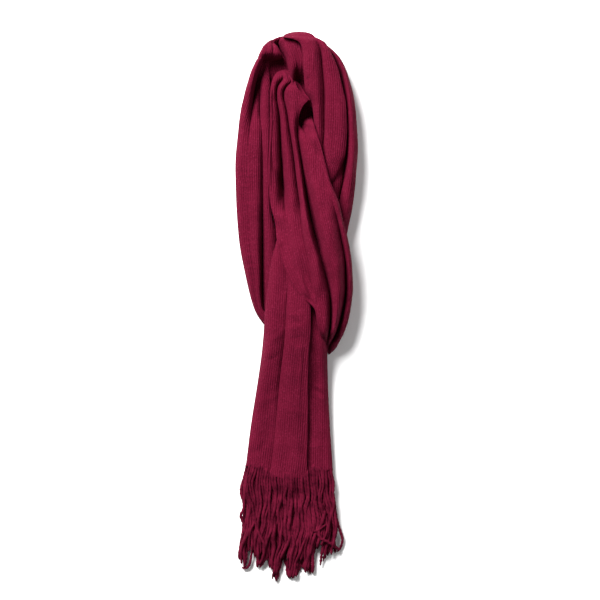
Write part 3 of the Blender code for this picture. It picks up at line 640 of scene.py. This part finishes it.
def uneven_field(unevenness, seed, x, y):
    """Seeded plane waves added up to a smooth uneven field."""
    pick = random.Random(seed + unevenness.seed)
    total = 0
    for _ in range(unevenness.waves):
        length = pick.uniform(unevenness.shortest, unevenness.longest)
        turn = pick.uniform(0, math.pi)
        start = pick.uniform(0, ANY_PHASE)
        along = x * math.cos(turn) / length + y * math.sin(turn) / length
        total = total + np.sin(2 * math.pi * along + start)
    return unevenness.height * total / math.sqrt(unevenness.waves)


def wrinkle_height(wrinkle, x, y):
    turn = math.radians(wrinkle.turn)
    along = (x - wrinkle.x) * math.cos(turn) + (y - wrinkle.y) * math.sin(turn)
    across = (y - wrinkle.y) * math.cos(turn) - (x - wrinkle.x) * math.sin(turn)
    bent = across - WRINKLE_BEND * wrinkle.width * (along / wrinkle.length) ** 2
    return wrinkle.height * np.exp(-((bent / wrinkle.width) ** 2) - (along / wrinkle.length) ** 2)


def rib_relief(number, x, y, normal_z, room, seed):
    """How far the ribs stand out: less on steep sides, not at all at the grooves."""
    pick = random.Random(seed)
    ribs = np.floor(number / RIB_STEPS).astype(int)
    depths = {rib: pick.uniform(1 - RIB_UNEVEN, 1 + RIB_UNEVEN) for rib in np.unique(ribs)}
    depth = RIB_DEPTH * np.array([depths[rib] for rib in ribs])
    depth = depth * (1 + uneven_field(RIB_PATCHES, seed, x, y))
    shape = np.abs(np.sin(math.pi * number / RIB_STEPS)) ** RIB_ROUNDNESS - RIB_MIDDLE
    on_top = np.clip(RIB_STEEP[0] * normal_z + RIB_STEEP[1], 0, 1)
    turned = RIB_ON_SIDE + (1 - RIB_ON_SIDE) * on_top
    return shape * depth * smoothstep(room / RIB_END_ROOM) * turned


def cloth_rise(stretch, x, y, seed):
    """The height that billows, pleats and wrinkles add to the cloth."""
    rise = uneven_field(BILLOW, seed, x, y)
    rise += uneven_field(PLEAT, seed, x, y / PLEAT_STRETCH)
    for wrinkle in stretch.wrinkles:
        rise += wrinkle_height(Wrinkle(*wrinkle), x, y)
    return rise


def end_share(from_end, reach):
    """Size of a ring at a distance from a rounded end, as a share of the full one."""
    if reach == 0:
        return 1
    near = np.clip(from_end / reach, 0, 1)
    return END_OPEN + (1 - END_OPEN) * np.sqrt(1 - (1 - near) ** 2)


def round_ends(place, ys, stretch):
    """Draws the rings in at both ends, so that the cloth turns in there."""
    share = end_share(ys[0] - ys, stretch.round_top) * end_share(ys - ys[-1], stretch.round_end)
    if not stretch.round_end:
        share[-1] *= HEM_DRAWN_IN
    middle = place.mean(axis=1, keepdims=True)
    return middle + (place - middle) * share[:, None, None]


def draw_up_hem(rows, x, y, seed):
    """x and y of a tail's points, once its hem is drawn up along its own sides."""
    ys, lefts, rights = zip(*[(row.y, row.edges[0], row.edges[-1]) for row in reversed(rows)])
    lift = at_place(HEM_LIFT, x) * smoothstep((HEM_LIFTED - y) / HEM_LIFTED)
    left, right = np.interp(y, ys, lefts), np.interp(y, ys, rights)
    share = (x - left) / (right - left)
    left, right = np.interp(y + lift, ys, lefts), np.interp(y + lift, ys, rights)
    waver = uneven_field(HEM_WAVE, seed, x, 0 * x)
    waved = smoothstep((HEM_WAVED_FROM - y) / HEM_WAVED_OVER)
    return left + share * (right - left), y + waver * waved + lift


def knit_mesh(stretch, seed):
    """The fine skin of one stretch, with its ribs in line with each fold."""
    rows = smooth_rows(stretch.sections)
    hem = not stretch.round_end
    if hem:
        last = rows[-1]
        rows += [last._replace(y=last.y - down) for down in HEM_TURN_IN]
    number, points = knit_columns(stretch, rows)
    ys = np.array([row.y for row in rows])
    y = np.repeat(ys[:, None], len(number), axis=1)
    x = points[..., 0]
    normal = points[..., 2:4]
    relief = rib_relief(number, x, y, normal[..., 1], points[..., 4], seed)
    place = points[..., :2] + normal * relief[..., None]
    place[..., 1] += points[..., 5] * cloth_rise(stretch, x, y, seed)
    place[..., 1] = np.maximum(place[..., 1], ON_FLOOR)
    place = round_ends(place, ys, stretch)
    if hem:
        place[..., 0], y = draw_up_hem(rows, x, y, seed)
    return skin_object(stretch.name + "_knit", place, y, number)


def skin_object(name, place, y, number):
    count_rows, count = y.shape
    points = np.stack([place[..., 0], y, place[..., 1]], axis=-1).reshape(-1, 3)
    points = (points + SHIFT) * MM
    index = np.arange(count_rows * count).reshape(count_rows, count)
    corners = (index[:-1, :-1], index[:-1, 1:], index[1:, 1:], index[1:, :-1])
    quads = np.stack(corners, axis=-1).reshape(-1, 4)
    wide = np.linalg.norm(points[quads[:, 0]] - points[quads[:, 1]], axis=1)
    wide += np.linalg.norm(points[quads[:, 2]] - points[quads[:, 3]], axis=1)
    quads = quads[wide > LEAST_WIDTH]
    mesh = bpy.data.meshes.new(name)
    mesh.from_pydata(points, [], quads)
    layer = mesh.uv_layers.new(name="knit")
    across = np.tile(number / RIB_STEPS, count_rows)
    along = (y / RIB).reshape(-1)
    vertices = np.zeros(len(mesh.loops), np.int32)
    mesh.loops.foreach_get("vertex_index", vertices)
    layer.data.foreach_set("uv", np.column_stack([across[vertices], along[vertices]]).ravel())
    work = bmesh.new()
    work.from_mesh(mesh)
    bmesh.ops.remove_doubles(work, verts=work.verts, dist=MERGE)
    loose = [vertex for vertex in work.verts if not vertex.link_faces]
    bmesh.ops.delete(work, geom=loose, context="VERTS")
    work.to_mesh(mesh)
    work.free()
    mesh.shade_smooth()
    return add_object(name, mesh)


def add_object(name, data):
    made = bpy.data.objects.new(name, data)
    bpy.context.scene.collection.objects.link(made)
    return made


# Fringe: its yarns
YARN_RADIUS = 1.8
YARN_SPREAD = (0.72, 1.12)  # thinnest and thickest, as shares
YARN_SIDES = 9
YARN_RINGS = 74
YARN_TURN = 9  # for one turn of its two plies
YARN_PLIES = 0.13  # bulge of the plies, as a share
YARN_TIP = 0.35  # radius at the very tip, as a share
YARN_TAPER = 5
YARN_SHORTER = (1, 0.99, 0.97, 0.94)  # shares of its lock's length

# Waves in a yarn's thickness: share of the radius, length of a radian, times the phase
YARN_SWELLS = ((0.08, 7.3, 1), (0.04, 2.9, 2))

# Fringe: the locks that its yarns lie in
LOCK_YARNS = 2
LOCK_PITCH = 5.9  # from lock to lock in a layer
LOCK_RADIUS = 1.7  # from a lock's middle line to that of its yarns
LOCK_TIGHT = 0.75  # the share of that at its root
LOCK_LOOSENS = 0.35  # and what is added towards its tip
LOCK_LOOSE_AT = 90  # where that is reached
LOCK_FLATNESS = 0.8  # as a share of its width
LOCK_GATHERS = 30  # distance over which its yarns draw together
LOCK_TURN = 80  # for one turn of its yarns
LOCK_LAYERS = (2.6, 5, 7.6, 10.2)  # height of a layer's middle lines
LEVEL_STRAY = 0.8  # from its layer
ROOT_STRAY = 0.9  # from its place
ROOT_INSIDE = 7  # how far a root starts above the hem's edge
ROOT_DIVE = 3  # how far it dives there
ROOT_SUNK = 0.8  # the top layer, below the hem's top
ROOT_LEAST = 1  # height of the lowest root
COME_DOWN = 30  # they come down and free over it
LOCK_SHORTER = (1.04, 1.02, 1, 0.96, 0.9)  # shares of the length in TIPS
TIPS_FROM = 65  # below the hem line, where the ends begin
TIPS_OVER = 45  # and over which they gather and sink
TIPS_SINK = 0.45  # share of their height that they lose
HEM_PROBE = 2  # y where the hem's height is measured
HEM_HEIGHT = 12  # where no cloth is met there

# Waves that go through neighbouring locks alike: size, length of a radian, radians to a
# millimetre from root to root, and start. The others are each lock's or yarn's own.
SHARED_WAVES = ((1, 10.5, 0.06, 1), (0.5, 5.4, 0.13, 2))
OwnWave = namedtuple("OwnWave", "size shortest longest")
OWN_WAVES = (OwnWave(1.2, 8, 16), OwnWave(0.48, 3.5, 5.5))
YARN_WAVE = OwnWave(0.5, 4, 8)
UP_AND_DOWN = 0.8  # size of a lock's wave in height
UP_AND_DOWN_LENGTH = 9

# Sides of the whole fringe, as x at a distance below the hem line
HEM_LEFT = -60
HEM_RIGHT = 40
FRINGE_LEFT = [
    (-20, -52), (-12, -54), (0, -57), (6, -58.5), (22, -59), (40, -58), (55, -58), (70, -60),
    (85, -62), (102, -63),
]
FRINGE_RIGHT = [
    (-20, 36), (-8, 36.5), (0, 38), (16, 40.5), (44, 42), (60, 42.5), (80, 41.5), (102, 41),
]

# How far below the hem line the longest locks reach, at an x
TIPS = [
    (-62.7, 101), (-54, 103), (-52.5, 82), (-48, 82), (-46, 94), (-40.7, 103), (-32, 98), (-23, 117),
    (-13, 107), (-2.2, 115), (5.5, 103), (14.3, 109), (20, 104), (21.5, 82), (27, 80), (29, 97),
    (36.3, 93), (43, 80), (48, 82),
]

# Where the locks draw together at their ends
CLUMPS = (-60, -41, -23, -2, 14, 28, 38)
CLUMP_PULL = 0.38

# Yarns laid over the others: (x, distance below the hem line, height) of their points
STRAYS = {
    "fringe_back": [
        ((37, -2, 9), (39, 15, 9), (41.5, 32, 8), (44, 50, 7), (47.5, 62, 6), (50.2, 72, 4),
         (48, 81, 3), (44.5, 86, 2)),
        ((31, 40, 11), (28, 52, 12.5), (24, 62, 13), (26, 70, 13), (33, 74, 12.5), (41, 79, 9),
         (47, 84, 5)),
        ((16, 30, 11), (18, 50, 12), (19, 62, 13), (25, 60, 13.5), (32, 55, 13)),
        ((32, 50, 10), (30, 70, 8), (27.5, 86, 6), (25.7, 101, 4)),
    ],
    "fringe_front": [
        ((-55, 2, 12), (-58, 25, 11), (-59, 38, 10), (-62, 45, 9), (-60, 52, 8), (-57, 62, 8),
         (-52, 80, 6)),
        ((-50, 30, 11.5), (-44, 60, 12), (-36, 78, 12), (-38, 92, 9), (-42, 100, 6)),
        ((-46, 62, 9), (-48, 78, 7), (-50.5, 90, 5), (-52.5, 100, 4), (-57, 104, 3), (-61, 103, 3)),
    ],
}
STRAY_STEPS = 12  # points between two of those

# A fringe: the tail that it hangs from, and x of its first and last root
Fringe = namedtuple("Fringe", "name tail first last seed")
FRINGES = [
    Fringe("fringe_back", "tail_back", -3.5, 38.5, 71),
    Fringe("fringe_front", "tail_front", -58.5, 9.5, 72),
]


def smooth_line(points, count):
    """Points evenly spaced along a smooth curve through given ones."""
    points = np.array(points, float)
    known = np.vstack([2 * points[0] - points[1], points, 2 * points[-1] - points[-2]])
    line = []
    for a, b, c, d in zip(known, known[1:], known[2:], known[3:]):
        for t in np.linspace(0, 1, STRAY_STEPS, endpoint=False):
            squared = (2 * a - 5 * b + 4 * c - d) * t**2
            cubed = (3 * b - a - 3 * c + d) * t**3
            line.append(0.5 * (2 * b + (c - a) * t + squared + cubed))
    line = np.array([*line, points[-1]])
    length = distance_along(line)
    return np.column_stack(places_on(line, length, np.linspace(0, length[-1], count)))


def yarn_tube(line, radius, phase):
    """Points and faces of a closed two-ply yarn round its middle line."""
    along = np.gradient(line, axis=0)
    along /= np.linalg.norm(along, axis=1)[:, None]
    sideways = np.cross(along, (0, 0, 1))
    sideways /= np.linalg.norm(sideways, axis=1)[:, None]
    upward = np.cross(sideways, along)
    length = distance_along(line)
    to_tip = np.clip((length[-1] - length) / YARN_TAPER, 0, 1)
    size = radius * (YARN_TIP + (1 - YARN_TIP) * np.sqrt(to_tip))
    size = size * (1 + sum(s * np.sin(length / one + times * phase) for s, one, times in YARN_SWELLS))
    angle = np.linspace(0, 2 * math.pi, YARN_SIDES, endpoint=False)
    twist = 2 * math.pi * length[:, None] / YARN_TURN + phase
    reach = size[:, None] * (1 + YARN_PLIES * np.cos(2 * (angle - twist)))
    rings = (
        line[:, None, :]
        + (reach * np.cos(angle))[..., None] * sideways[:, None, :]
        + (reach * np.sin(angle))[..., None] * upward[:, None, :]
    )
    points = np.vstack([rings.reshape(-1, 3), line[:1], line[-1:]])
    start_point, end_point = len(points) - 2, len(points) - 1
    last_ring = (len(line) - 1) * YARN_SIDES
    faces = []
    for k in range(YARN_SIDES):
        n = (k + 1) % YARN_SIDES
        for ring in range(0, last_ring, YARN_SIDES):
            following = ring + YARN_SIDES
            faces.append((ring + k, following + k, following + n, ring + n))
        faces += [(start_point, k, n), (end_point, last_ring + n, last_ring + k)]
    return points, faces


def own_wave(wave, down, pick):
    length = pick.uniform(wave.shortest, wave.longest)
    return wave.size * np.sin(down / length + pick.uniform(0, ANY_PHASE))


def lock_line(root, layer, top, reach, pick):
    """The middle line of one lock of yarns, from inside the hem to its tip."""
    lift = at_place(HEM_LIFT, root)
    down = np.linspace(-ROOT_INSIDE - lift, reach, YARN_RINGS)
    below = np.clip(down, 0, None)
    free = smoothstep((down + lift) / COME_DOWN)
    at_tip = smoothstep((below - TIPS_FROM) / TIPS_OVER)
    left, right = at_place(FRINGE_LEFT, down), at_place(FRINGE_RIGHT, down)
    x = left + (root - HEM_LEFT) / (HEM_RIGHT - HEM_LEFT) * (right - left)
    for size, length, by_root, start in SHARED_WAVES:
        x = x + free * size * np.sin(below / length + by_root * root + start)
    for wave in OWN_WAVES:
        x = x + free * own_wave(wave, below, pick)
    clump = min(CLUMPS, key=lambda place: abs(place - root))
    x = x + CLUMP_PULL * (clump - root) * at_tip
    level = LOCK_LAYERS[layer] + pick.uniform(-LEVEL_STRAY, LEVEL_STRAY)
    share = (layer + 1) / len(LOCK_LAYERS)
    root_level = max(level, ROOT_LEAST + share * (top - ROOT_SUNK - ROOT_LEAST))
    z = level + (root_level - level) * (1 - free)
    waving = np.sin(below / UP_AND_DOWN_LENGTH + pick.uniform(0, ANY_PHASE))
    z = z * (1 - TIPS_SINK * at_tip) + UP_AND_DOWN * free * waving
    z = z - ROOT_DIVE * smoothstep(-(down + lift) / ROOT_INSIDE)
    return np.column_stack([x, -down, z])


def yarn_line(lock, number, start, pick):
    """The middle line of one yarn of a lock, winding slowly round the lock's own."""
    down = -lock[:, 1]
    turn = start + 2 * math.pi * (number / LOCK_YARNS + down / LOCK_TURN)
    loose = LOCK_RADIUS * (LOCK_TIGHT + LOCK_LOOSENS * smoothstep(down / LOCK_LOOSE_AT))
    wander = own_wave(YARN_WAVE, down, pick)
    gathered = smoothstep((down + down[0]) / LOCK_GATHERS)
    beside = (number - (LOCK_YARNS - 1) / 2) * LOCK_PITCH / LOCK_YARNS
    x = lock[:, 0] + beside + gathered * (loose * np.cos(turn) + wander - beside)
    z = lock[:, 2] + LOCK_FLATNESS * gathered * loose * np.sin(turn)
    line = np.column_stack([x, -down, np.maximum(z, YARN_RADIUS)])
    kept = np.linspace(0, pick.choice(YARN_SHORTER) * (YARN_RINGS - 1), YARN_RINGS)
    return np.column_stack(places_on(line, np.arange(YARN_RINGS), kept))


def fringe_lines(fringe, pick):
    """The middle lines of all the yarns of a fringe."""
    tree = solid_tree(fringe.tail)
    count = int((fringe.last - fringe.first) / LOCK_PITCH)
    pitch = (fringe.last - fringe.first) / (count + 0.5)
    lines = []
    for layer in range(len(LOCK_LAYERS)):
        for k in range(count + 1):
            place = fringe.first + (k + 0.5 * (layer % 2)) * pitch
            root = place + pick.uniform(-ROOT_STRAY, ROOT_STRAY)
            hit = tree.ray_cast(packed_point(root, HEM_PROBE, ABOVE), -UP)[0]
            top = HEM_HEIGHT if hit is None else hit.z / MM
            reach = at_place(TIPS, root) * pick.choice(LOCK_SHORTER)
            lock = lock_line(root, layer, top, reach, pick)
            start = pick.uniform(0, ANY_PHASE)
            lines += [yarn_line(lock, number, start, pick) for number in range(LOCK_YARNS)]
    for stray in STRAYS[fringe.name]:
        lines.append(smooth_line([(x, -down, z) for x, down, z in stray], YARN_RINGS))
    return lines


def fringe_object(fringe):
    """All the yarns of one fringe as one piece."""
    pick = random.Random(fringe.seed)
    all_points, all_faces = [], []
    used = 0
    for line in fringe_lines(fringe, pick):
        radius = YARN_RADIUS * pick.uniform(*YARN_SPREAD)
        points, faces = yarn_tube(line, radius, pick.uniform(0, ANY_PHASE))
        all_points.append(points)
        all_faces += [tuple(used + corner for corner in face) for face in faces]
        used += len(points)
    mesh = bpy.data.meshes.new(fringe.name + "_yarn")
    mesh.from_pydata((np.vstack(all_points) + SHIFT) * MM, [], all_faces)
    mesh.shade_smooth()
    return add_object(fringe.name + "_yarn", mesh)


# Colours, and the textures of the knit and the yarn
# The darkest yarn tone, and in the knit the colour of the painted shade in its grooves
DEEP_TONE_AND_GROOVE_SHADE = (0.012, 0.0006, 0.0025, 1)
BURGUNDY = (0.068, 0.0031, 0.0118, 1)
WARM = (0.105, 0.0058, 0.020, 1)
LIGHT = (0.19, 0.017, 0.047, 1)
SHEEN_TINT = (0.9, 0.08, 0.22, 1)
SPECULAR_TINT = (0.9, 0.1, 0.25, 1)
FLOOR_WHITE = (0.93, 0.93, 0.93, 1)
STITCHES = 2.1  # stitches along a rib, in the width of a rib
STITCH_LEAN = 0.45  # beside the crown, as a share of its length
STITCH_HEIGHT = 0.00007  # metres
FIBRE_HEIGHT = 0.0012  # metres, for the whole range of the noise
YARN_FUZZ_HEIGHT = 0.0005  # metres
BUMP_STRENGTH = 0.8
# Painted shade in the grooves between the ribs: how narrow it is and how strong
GROOVE_SHADE_NARROWNESS = 4
GROOVE_SHADE_STRENGTH = 0.4

# Noise sizes, in cells to a metre
KNIT_FUZZ = 2600
KNIT_HEATHER = 620
KNIT_PATCHES = 45
YARN_FUZZ = 2200
YARN_PATCHES = 120

# The range of a noise over which a colour goes over into the next
KNIT_TONES = (0.3, 0.7)
KNIT_SPECKS = (0.56, 0.84)
YARN_TONES = (0.3, 0.62)


def new_material(name):
    made = bpy.data.materials.new(name)
    made.use_nodes = True
    nodes = made.node_tree.nodes
    nodes.clear()
    output = nodes.new("ShaderNodeOutputMaterial")
    shader = nodes.new("ShaderNodeBsdfPrincipled")
    made.node_tree.links.new(shader.outputs["BSDF"], output.inputs["Surface"])
    return made, shader


def add_math(tree, operation, *values):
    node = tree.nodes.new("ShaderNodeMath")
    node.operation = operation
    for socket, value in zip(node.inputs, values):
        if isinstance(value, (int, float)):
            socket.default_value = value
        else:
            tree.links.new(value, socket)
    return node.outputs[0]


def add_blend(tree, first, second, share):
    """first and second added in the shares 1 - share and share."""
    kept = add_math(tree, "MULTIPLY", first, 1 - share)
    return add_math(tree, "ADD", kept, add_math(tree, "MULTIPLY", second, share))


def add_noise(tree, coordinates, scale, detail):
    node = tree.nodes.new("ShaderNodeTexNoise")
    node.inputs["Scale"].default_value = scale
    node.inputs["Detail"].default_value = detail
    tree.links.new(coordinates, node.inputs["Vector"])
    return node.outputs["Fac"]


def add_range(tree, value, low, high):
    """value stretched so that low becomes 0 and high becomes 1."""
    node = tree.nodes.new("ShaderNodeMapRange")
    node.inputs["From Min"].default_value = low
    node.inputs["From Max"].default_value = high
    tree.links.new(value, node.inputs["Value"])
    return node.outputs[0]


def add_mix(tree, factor, first, second):
    node = tree.nodes.new("ShaderNodeMix")
    node.data_type = "RGBA"
    for socket, value in ((node.inputs[0], factor), (node.inputs[6], first), (node.inputs[7], second)):
        if isinstance(value, tuple):
            socket.default_value = value
        else:
            tree.links.new(value, socket)
    return node.outputs[2]


def add_bump(tree, shader, height, distance):
    bump = tree.nodes.new("ShaderNodeBump")
    bump.inputs["Distance"].default_value = distance
    bump.inputs["Strength"].default_value = BUMP_STRENGTH
    tree.links.new(height, bump.inputs["Height"])
    tree.links.new(bump.outputs["Normal"], shader.inputs["Normal"])


def set_acrylic(shader):
    """Matt, with the faint sheen of acrylic fibres."""
    shader.inputs["Roughness"].default_value = 0.92
    shader.inputs["Sheen Weight"].default_value = 0.05
    shader.inputs["Sheen Roughness"].default_value = 0.45
    shader.inputs["Sheen Tint"].default_value = SHEEN_TINT
    shader.inputs["Specular IOR Level"].default_value = 0.1
    shader.inputs["Specular Tint"].default_value = SPECULAR_TINT


def knit_material():
    """Matt rib knit: stitches along each rib, painted shade in the grooves between ribs, heathered
    yarn and fuzz.
    """
    made, shader = new_material("rib_knit")
    tree = made.node_tree
    uv = tree.nodes.new("ShaderNodeUVMap")
    uv.uv_map = "knit"
    place = tree.nodes.new("ShaderNodeNewGeometry").outputs["Position"]
    split = tree.nodes.new("ShaderNodeSeparateXYZ")
    tree.links.new(uv.outputs["UV"], split.inputs[0])
    across, along = split.outputs[0], split.outputs[1]

    in_rib = add_math(tree, "SUBTRACT", add_math(tree, "FRACT", across), 0.5)
    off_crown = add_math(tree, "MULTIPLY", add_math(tree, "ABSOLUTE", in_rib), 2)
    painted_groove_shade = add_math(tree, "POWER", off_crown, GROOVE_SHADE_NARROWNESS)
    lean = add_math(tree, "MULTIPLY", off_crown, STITCH_LEAN)
    stitch_place = add_math(tree, "ADD", add_math(tree, "MULTIPLY", along, STITCHES), lean)
    stitch = add_math(tree, "SINE", add_math(tree, "MULTIPLY", stitch_place, 2 * math.pi))

    fuzz = add_noise(tree, place, KNIT_FUZZ, 3)
    heather = add_noise(tree, place, KNIT_HEATHER, 2)
    patches = add_noise(tree, place, KNIT_PATCHES, 2)
    fibres = add_blend(tree, fuzz, heather, 0.7)

    tone = add_range(tree, add_blend(tree, heather, patches, 0.35), *KNIT_TONES)
    colour = add_mix(tree, tone, BURGUNDY, WARM)
    colour = add_mix(tree, add_range(tree, fibres, *KNIT_SPECKS), colour, LIGHT)
    # Painted shade: each groove between the ribs is darkened towards its bottom
    colour = add_mix(tree, add_math(tree, "MULTIPLY", painted_groove_shade, GROOVE_SHADE_STRENGTH), colour, DEEP_TONE_AND_GROOVE_SHADE)
    tree.links.new(colour, shader.inputs["Base Color"])

    stitch_height = add_math(tree, "MULTIPLY", stitch, STITCH_HEIGHT)
    fibre_height = add_math(tree, "MULTIPLY", fibres, FIBRE_HEIGHT)
    add_bump(tree, shader, add_math(tree, "ADD", stitch_height, fibre_height), 1)
    set_acrylic(shader)
    return made


def yarn_material():
    """Soft twisted acrylic yarn, darker here and there than the knit."""
    made, shader = new_material("fringe_yarn")
    tree = made.node_tree
    place = tree.nodes.new("ShaderNodeNewGeometry").outputs["Position"]
    fuzz = add_noise(tree, place, YARN_FUZZ, 3)
    patches = add_noise(tree, place, YARN_PATCHES, 2)
    tone = add_range(tree, add_blend(tree, fuzz, patches, 0.5), *YARN_TONES)
    tree.links.new(add_mix(tree, tone, DEEP_TONE_AND_GROOVE_SHADE, WARM), shader.inputs["Base Color"])
    add_bump(tree, shader, fuzz, YARN_FUZZ_HEIGHT)
    set_acrylic(shader)
    return made


# Photograph: its width at the cloth, and its middle
PHOTO_WIDTH = 660
PHOTO_MIDDLE = np.array([3.3, 192.5, 22])
CAMERA_HEIGHT = 4  # metres
SENSOR = 36


def add_camera():
    """Looks straight down, as the photograph does."""
    data = bpy.data.cameras.new("camera")
    data.sensor_width = SENSOR
    middle = (PHOTO_MIDDLE + SHIFT) * MM
    data.lens = SENSOR * (CAMERA_HEIGHT - middle[2]) / (PHOTO_WIDTH * MM)
    camera = add_object("camera", data)
    camera.location = (middle[0], middle[1], CAMERA_HEIGHT)
    bpy.context.scene.camera = camera


# Floor, in metres
FLOOR_HALF = 3
FLOOR_LEVEL = -0.0003


def add_floor():
    mesh = bpy.data.meshes.new("floor")
    sides = ((-1, -1), (1, -1), (1, 1), (-1, 1))
    corners = [(FLOOR_HALF * x, FLOOR_HALF * y, FLOOR_LEVEL) for x, y in sides]
    mesh.from_pydata(corners, [], [(0, 1, 2, 3)])
    made, shader = new_material("floor")
    shader.inputs["Base Color"].default_value = FLOOR_WHITE
    shader.inputs["Roughness"].default_value = 0.9
    mesh.materials.append(made)
    add_object("floor", mesh)


# Round lamps that face the middle of the scarf, with their place, size and power: a large
# soft window beyond its upper left, and a weak low one on its right
LAMPS = [("window", (-1.35, 2.1, 2.2), 1.7, 375), ("fill", (2.2, 0.7, 1.9), 2, 24)]
SURROUND = 0.2  # strength of the white all round


def add_light():
    for name, place, size, power in LAMPS:
        data = bpy.data.lights.new(name, "AREA")
        data.shape = "DISK"
        data.size = size
        data.energy = power
        light = add_object(name, data)
        light.location = place
        light.rotation_euler = (-Vector(place)).to_track_quat("-Z", "Y").to_euler()
    world = bpy.data.worlds.new("surround")
    world.use_nodes = True
    background = world.node_tree.nodes["Background"]
    background.inputs["Color"].default_value = (1, 1, 1, 1)
    background.inputs["Strength"].default_value = SURROUND
    bpy.context.scene.world = world
    bpy.context.scene.view_settings.view_transform = "Standard"


MEASURED_ROWS = 6  # every so many rows are measured


def ring_size(stretch):
    """Mean length of cloth round a stretch, and the stretch's length, in metres."""
    underside = Underside(stretch.name)
    rows = smooth_rows(stretch.sections)
    around = []
    for row in rows[::MEASURED_ROWS]:
        parts = ring_parts(row, underside, stretch.feathers)
        around.append(sum(distance_along(part[:, :2])[-1] for part in parts))
    return float(np.mean(around)) * MM, float(rows[0].y - rows[-1].y) * MM


def main():
    add_camera()
    add_floor()
    add_light()
    yarn = yarn_material()
    for row in FRINGES:
        fringe = fringe_object(row)
        fringe.data.materials.append(yarn)
        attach(fringe, "root")
        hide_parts(row.name)
    knit = knit_material()
    for number, stretch in enumerate(STRETCHES):
        piece = knit_mesh(stretch, 100 * number)
        piece.data.materials.append(knit)
        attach(piece, "root")
        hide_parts(stretch.name)
        ring_size(stretch)


main()
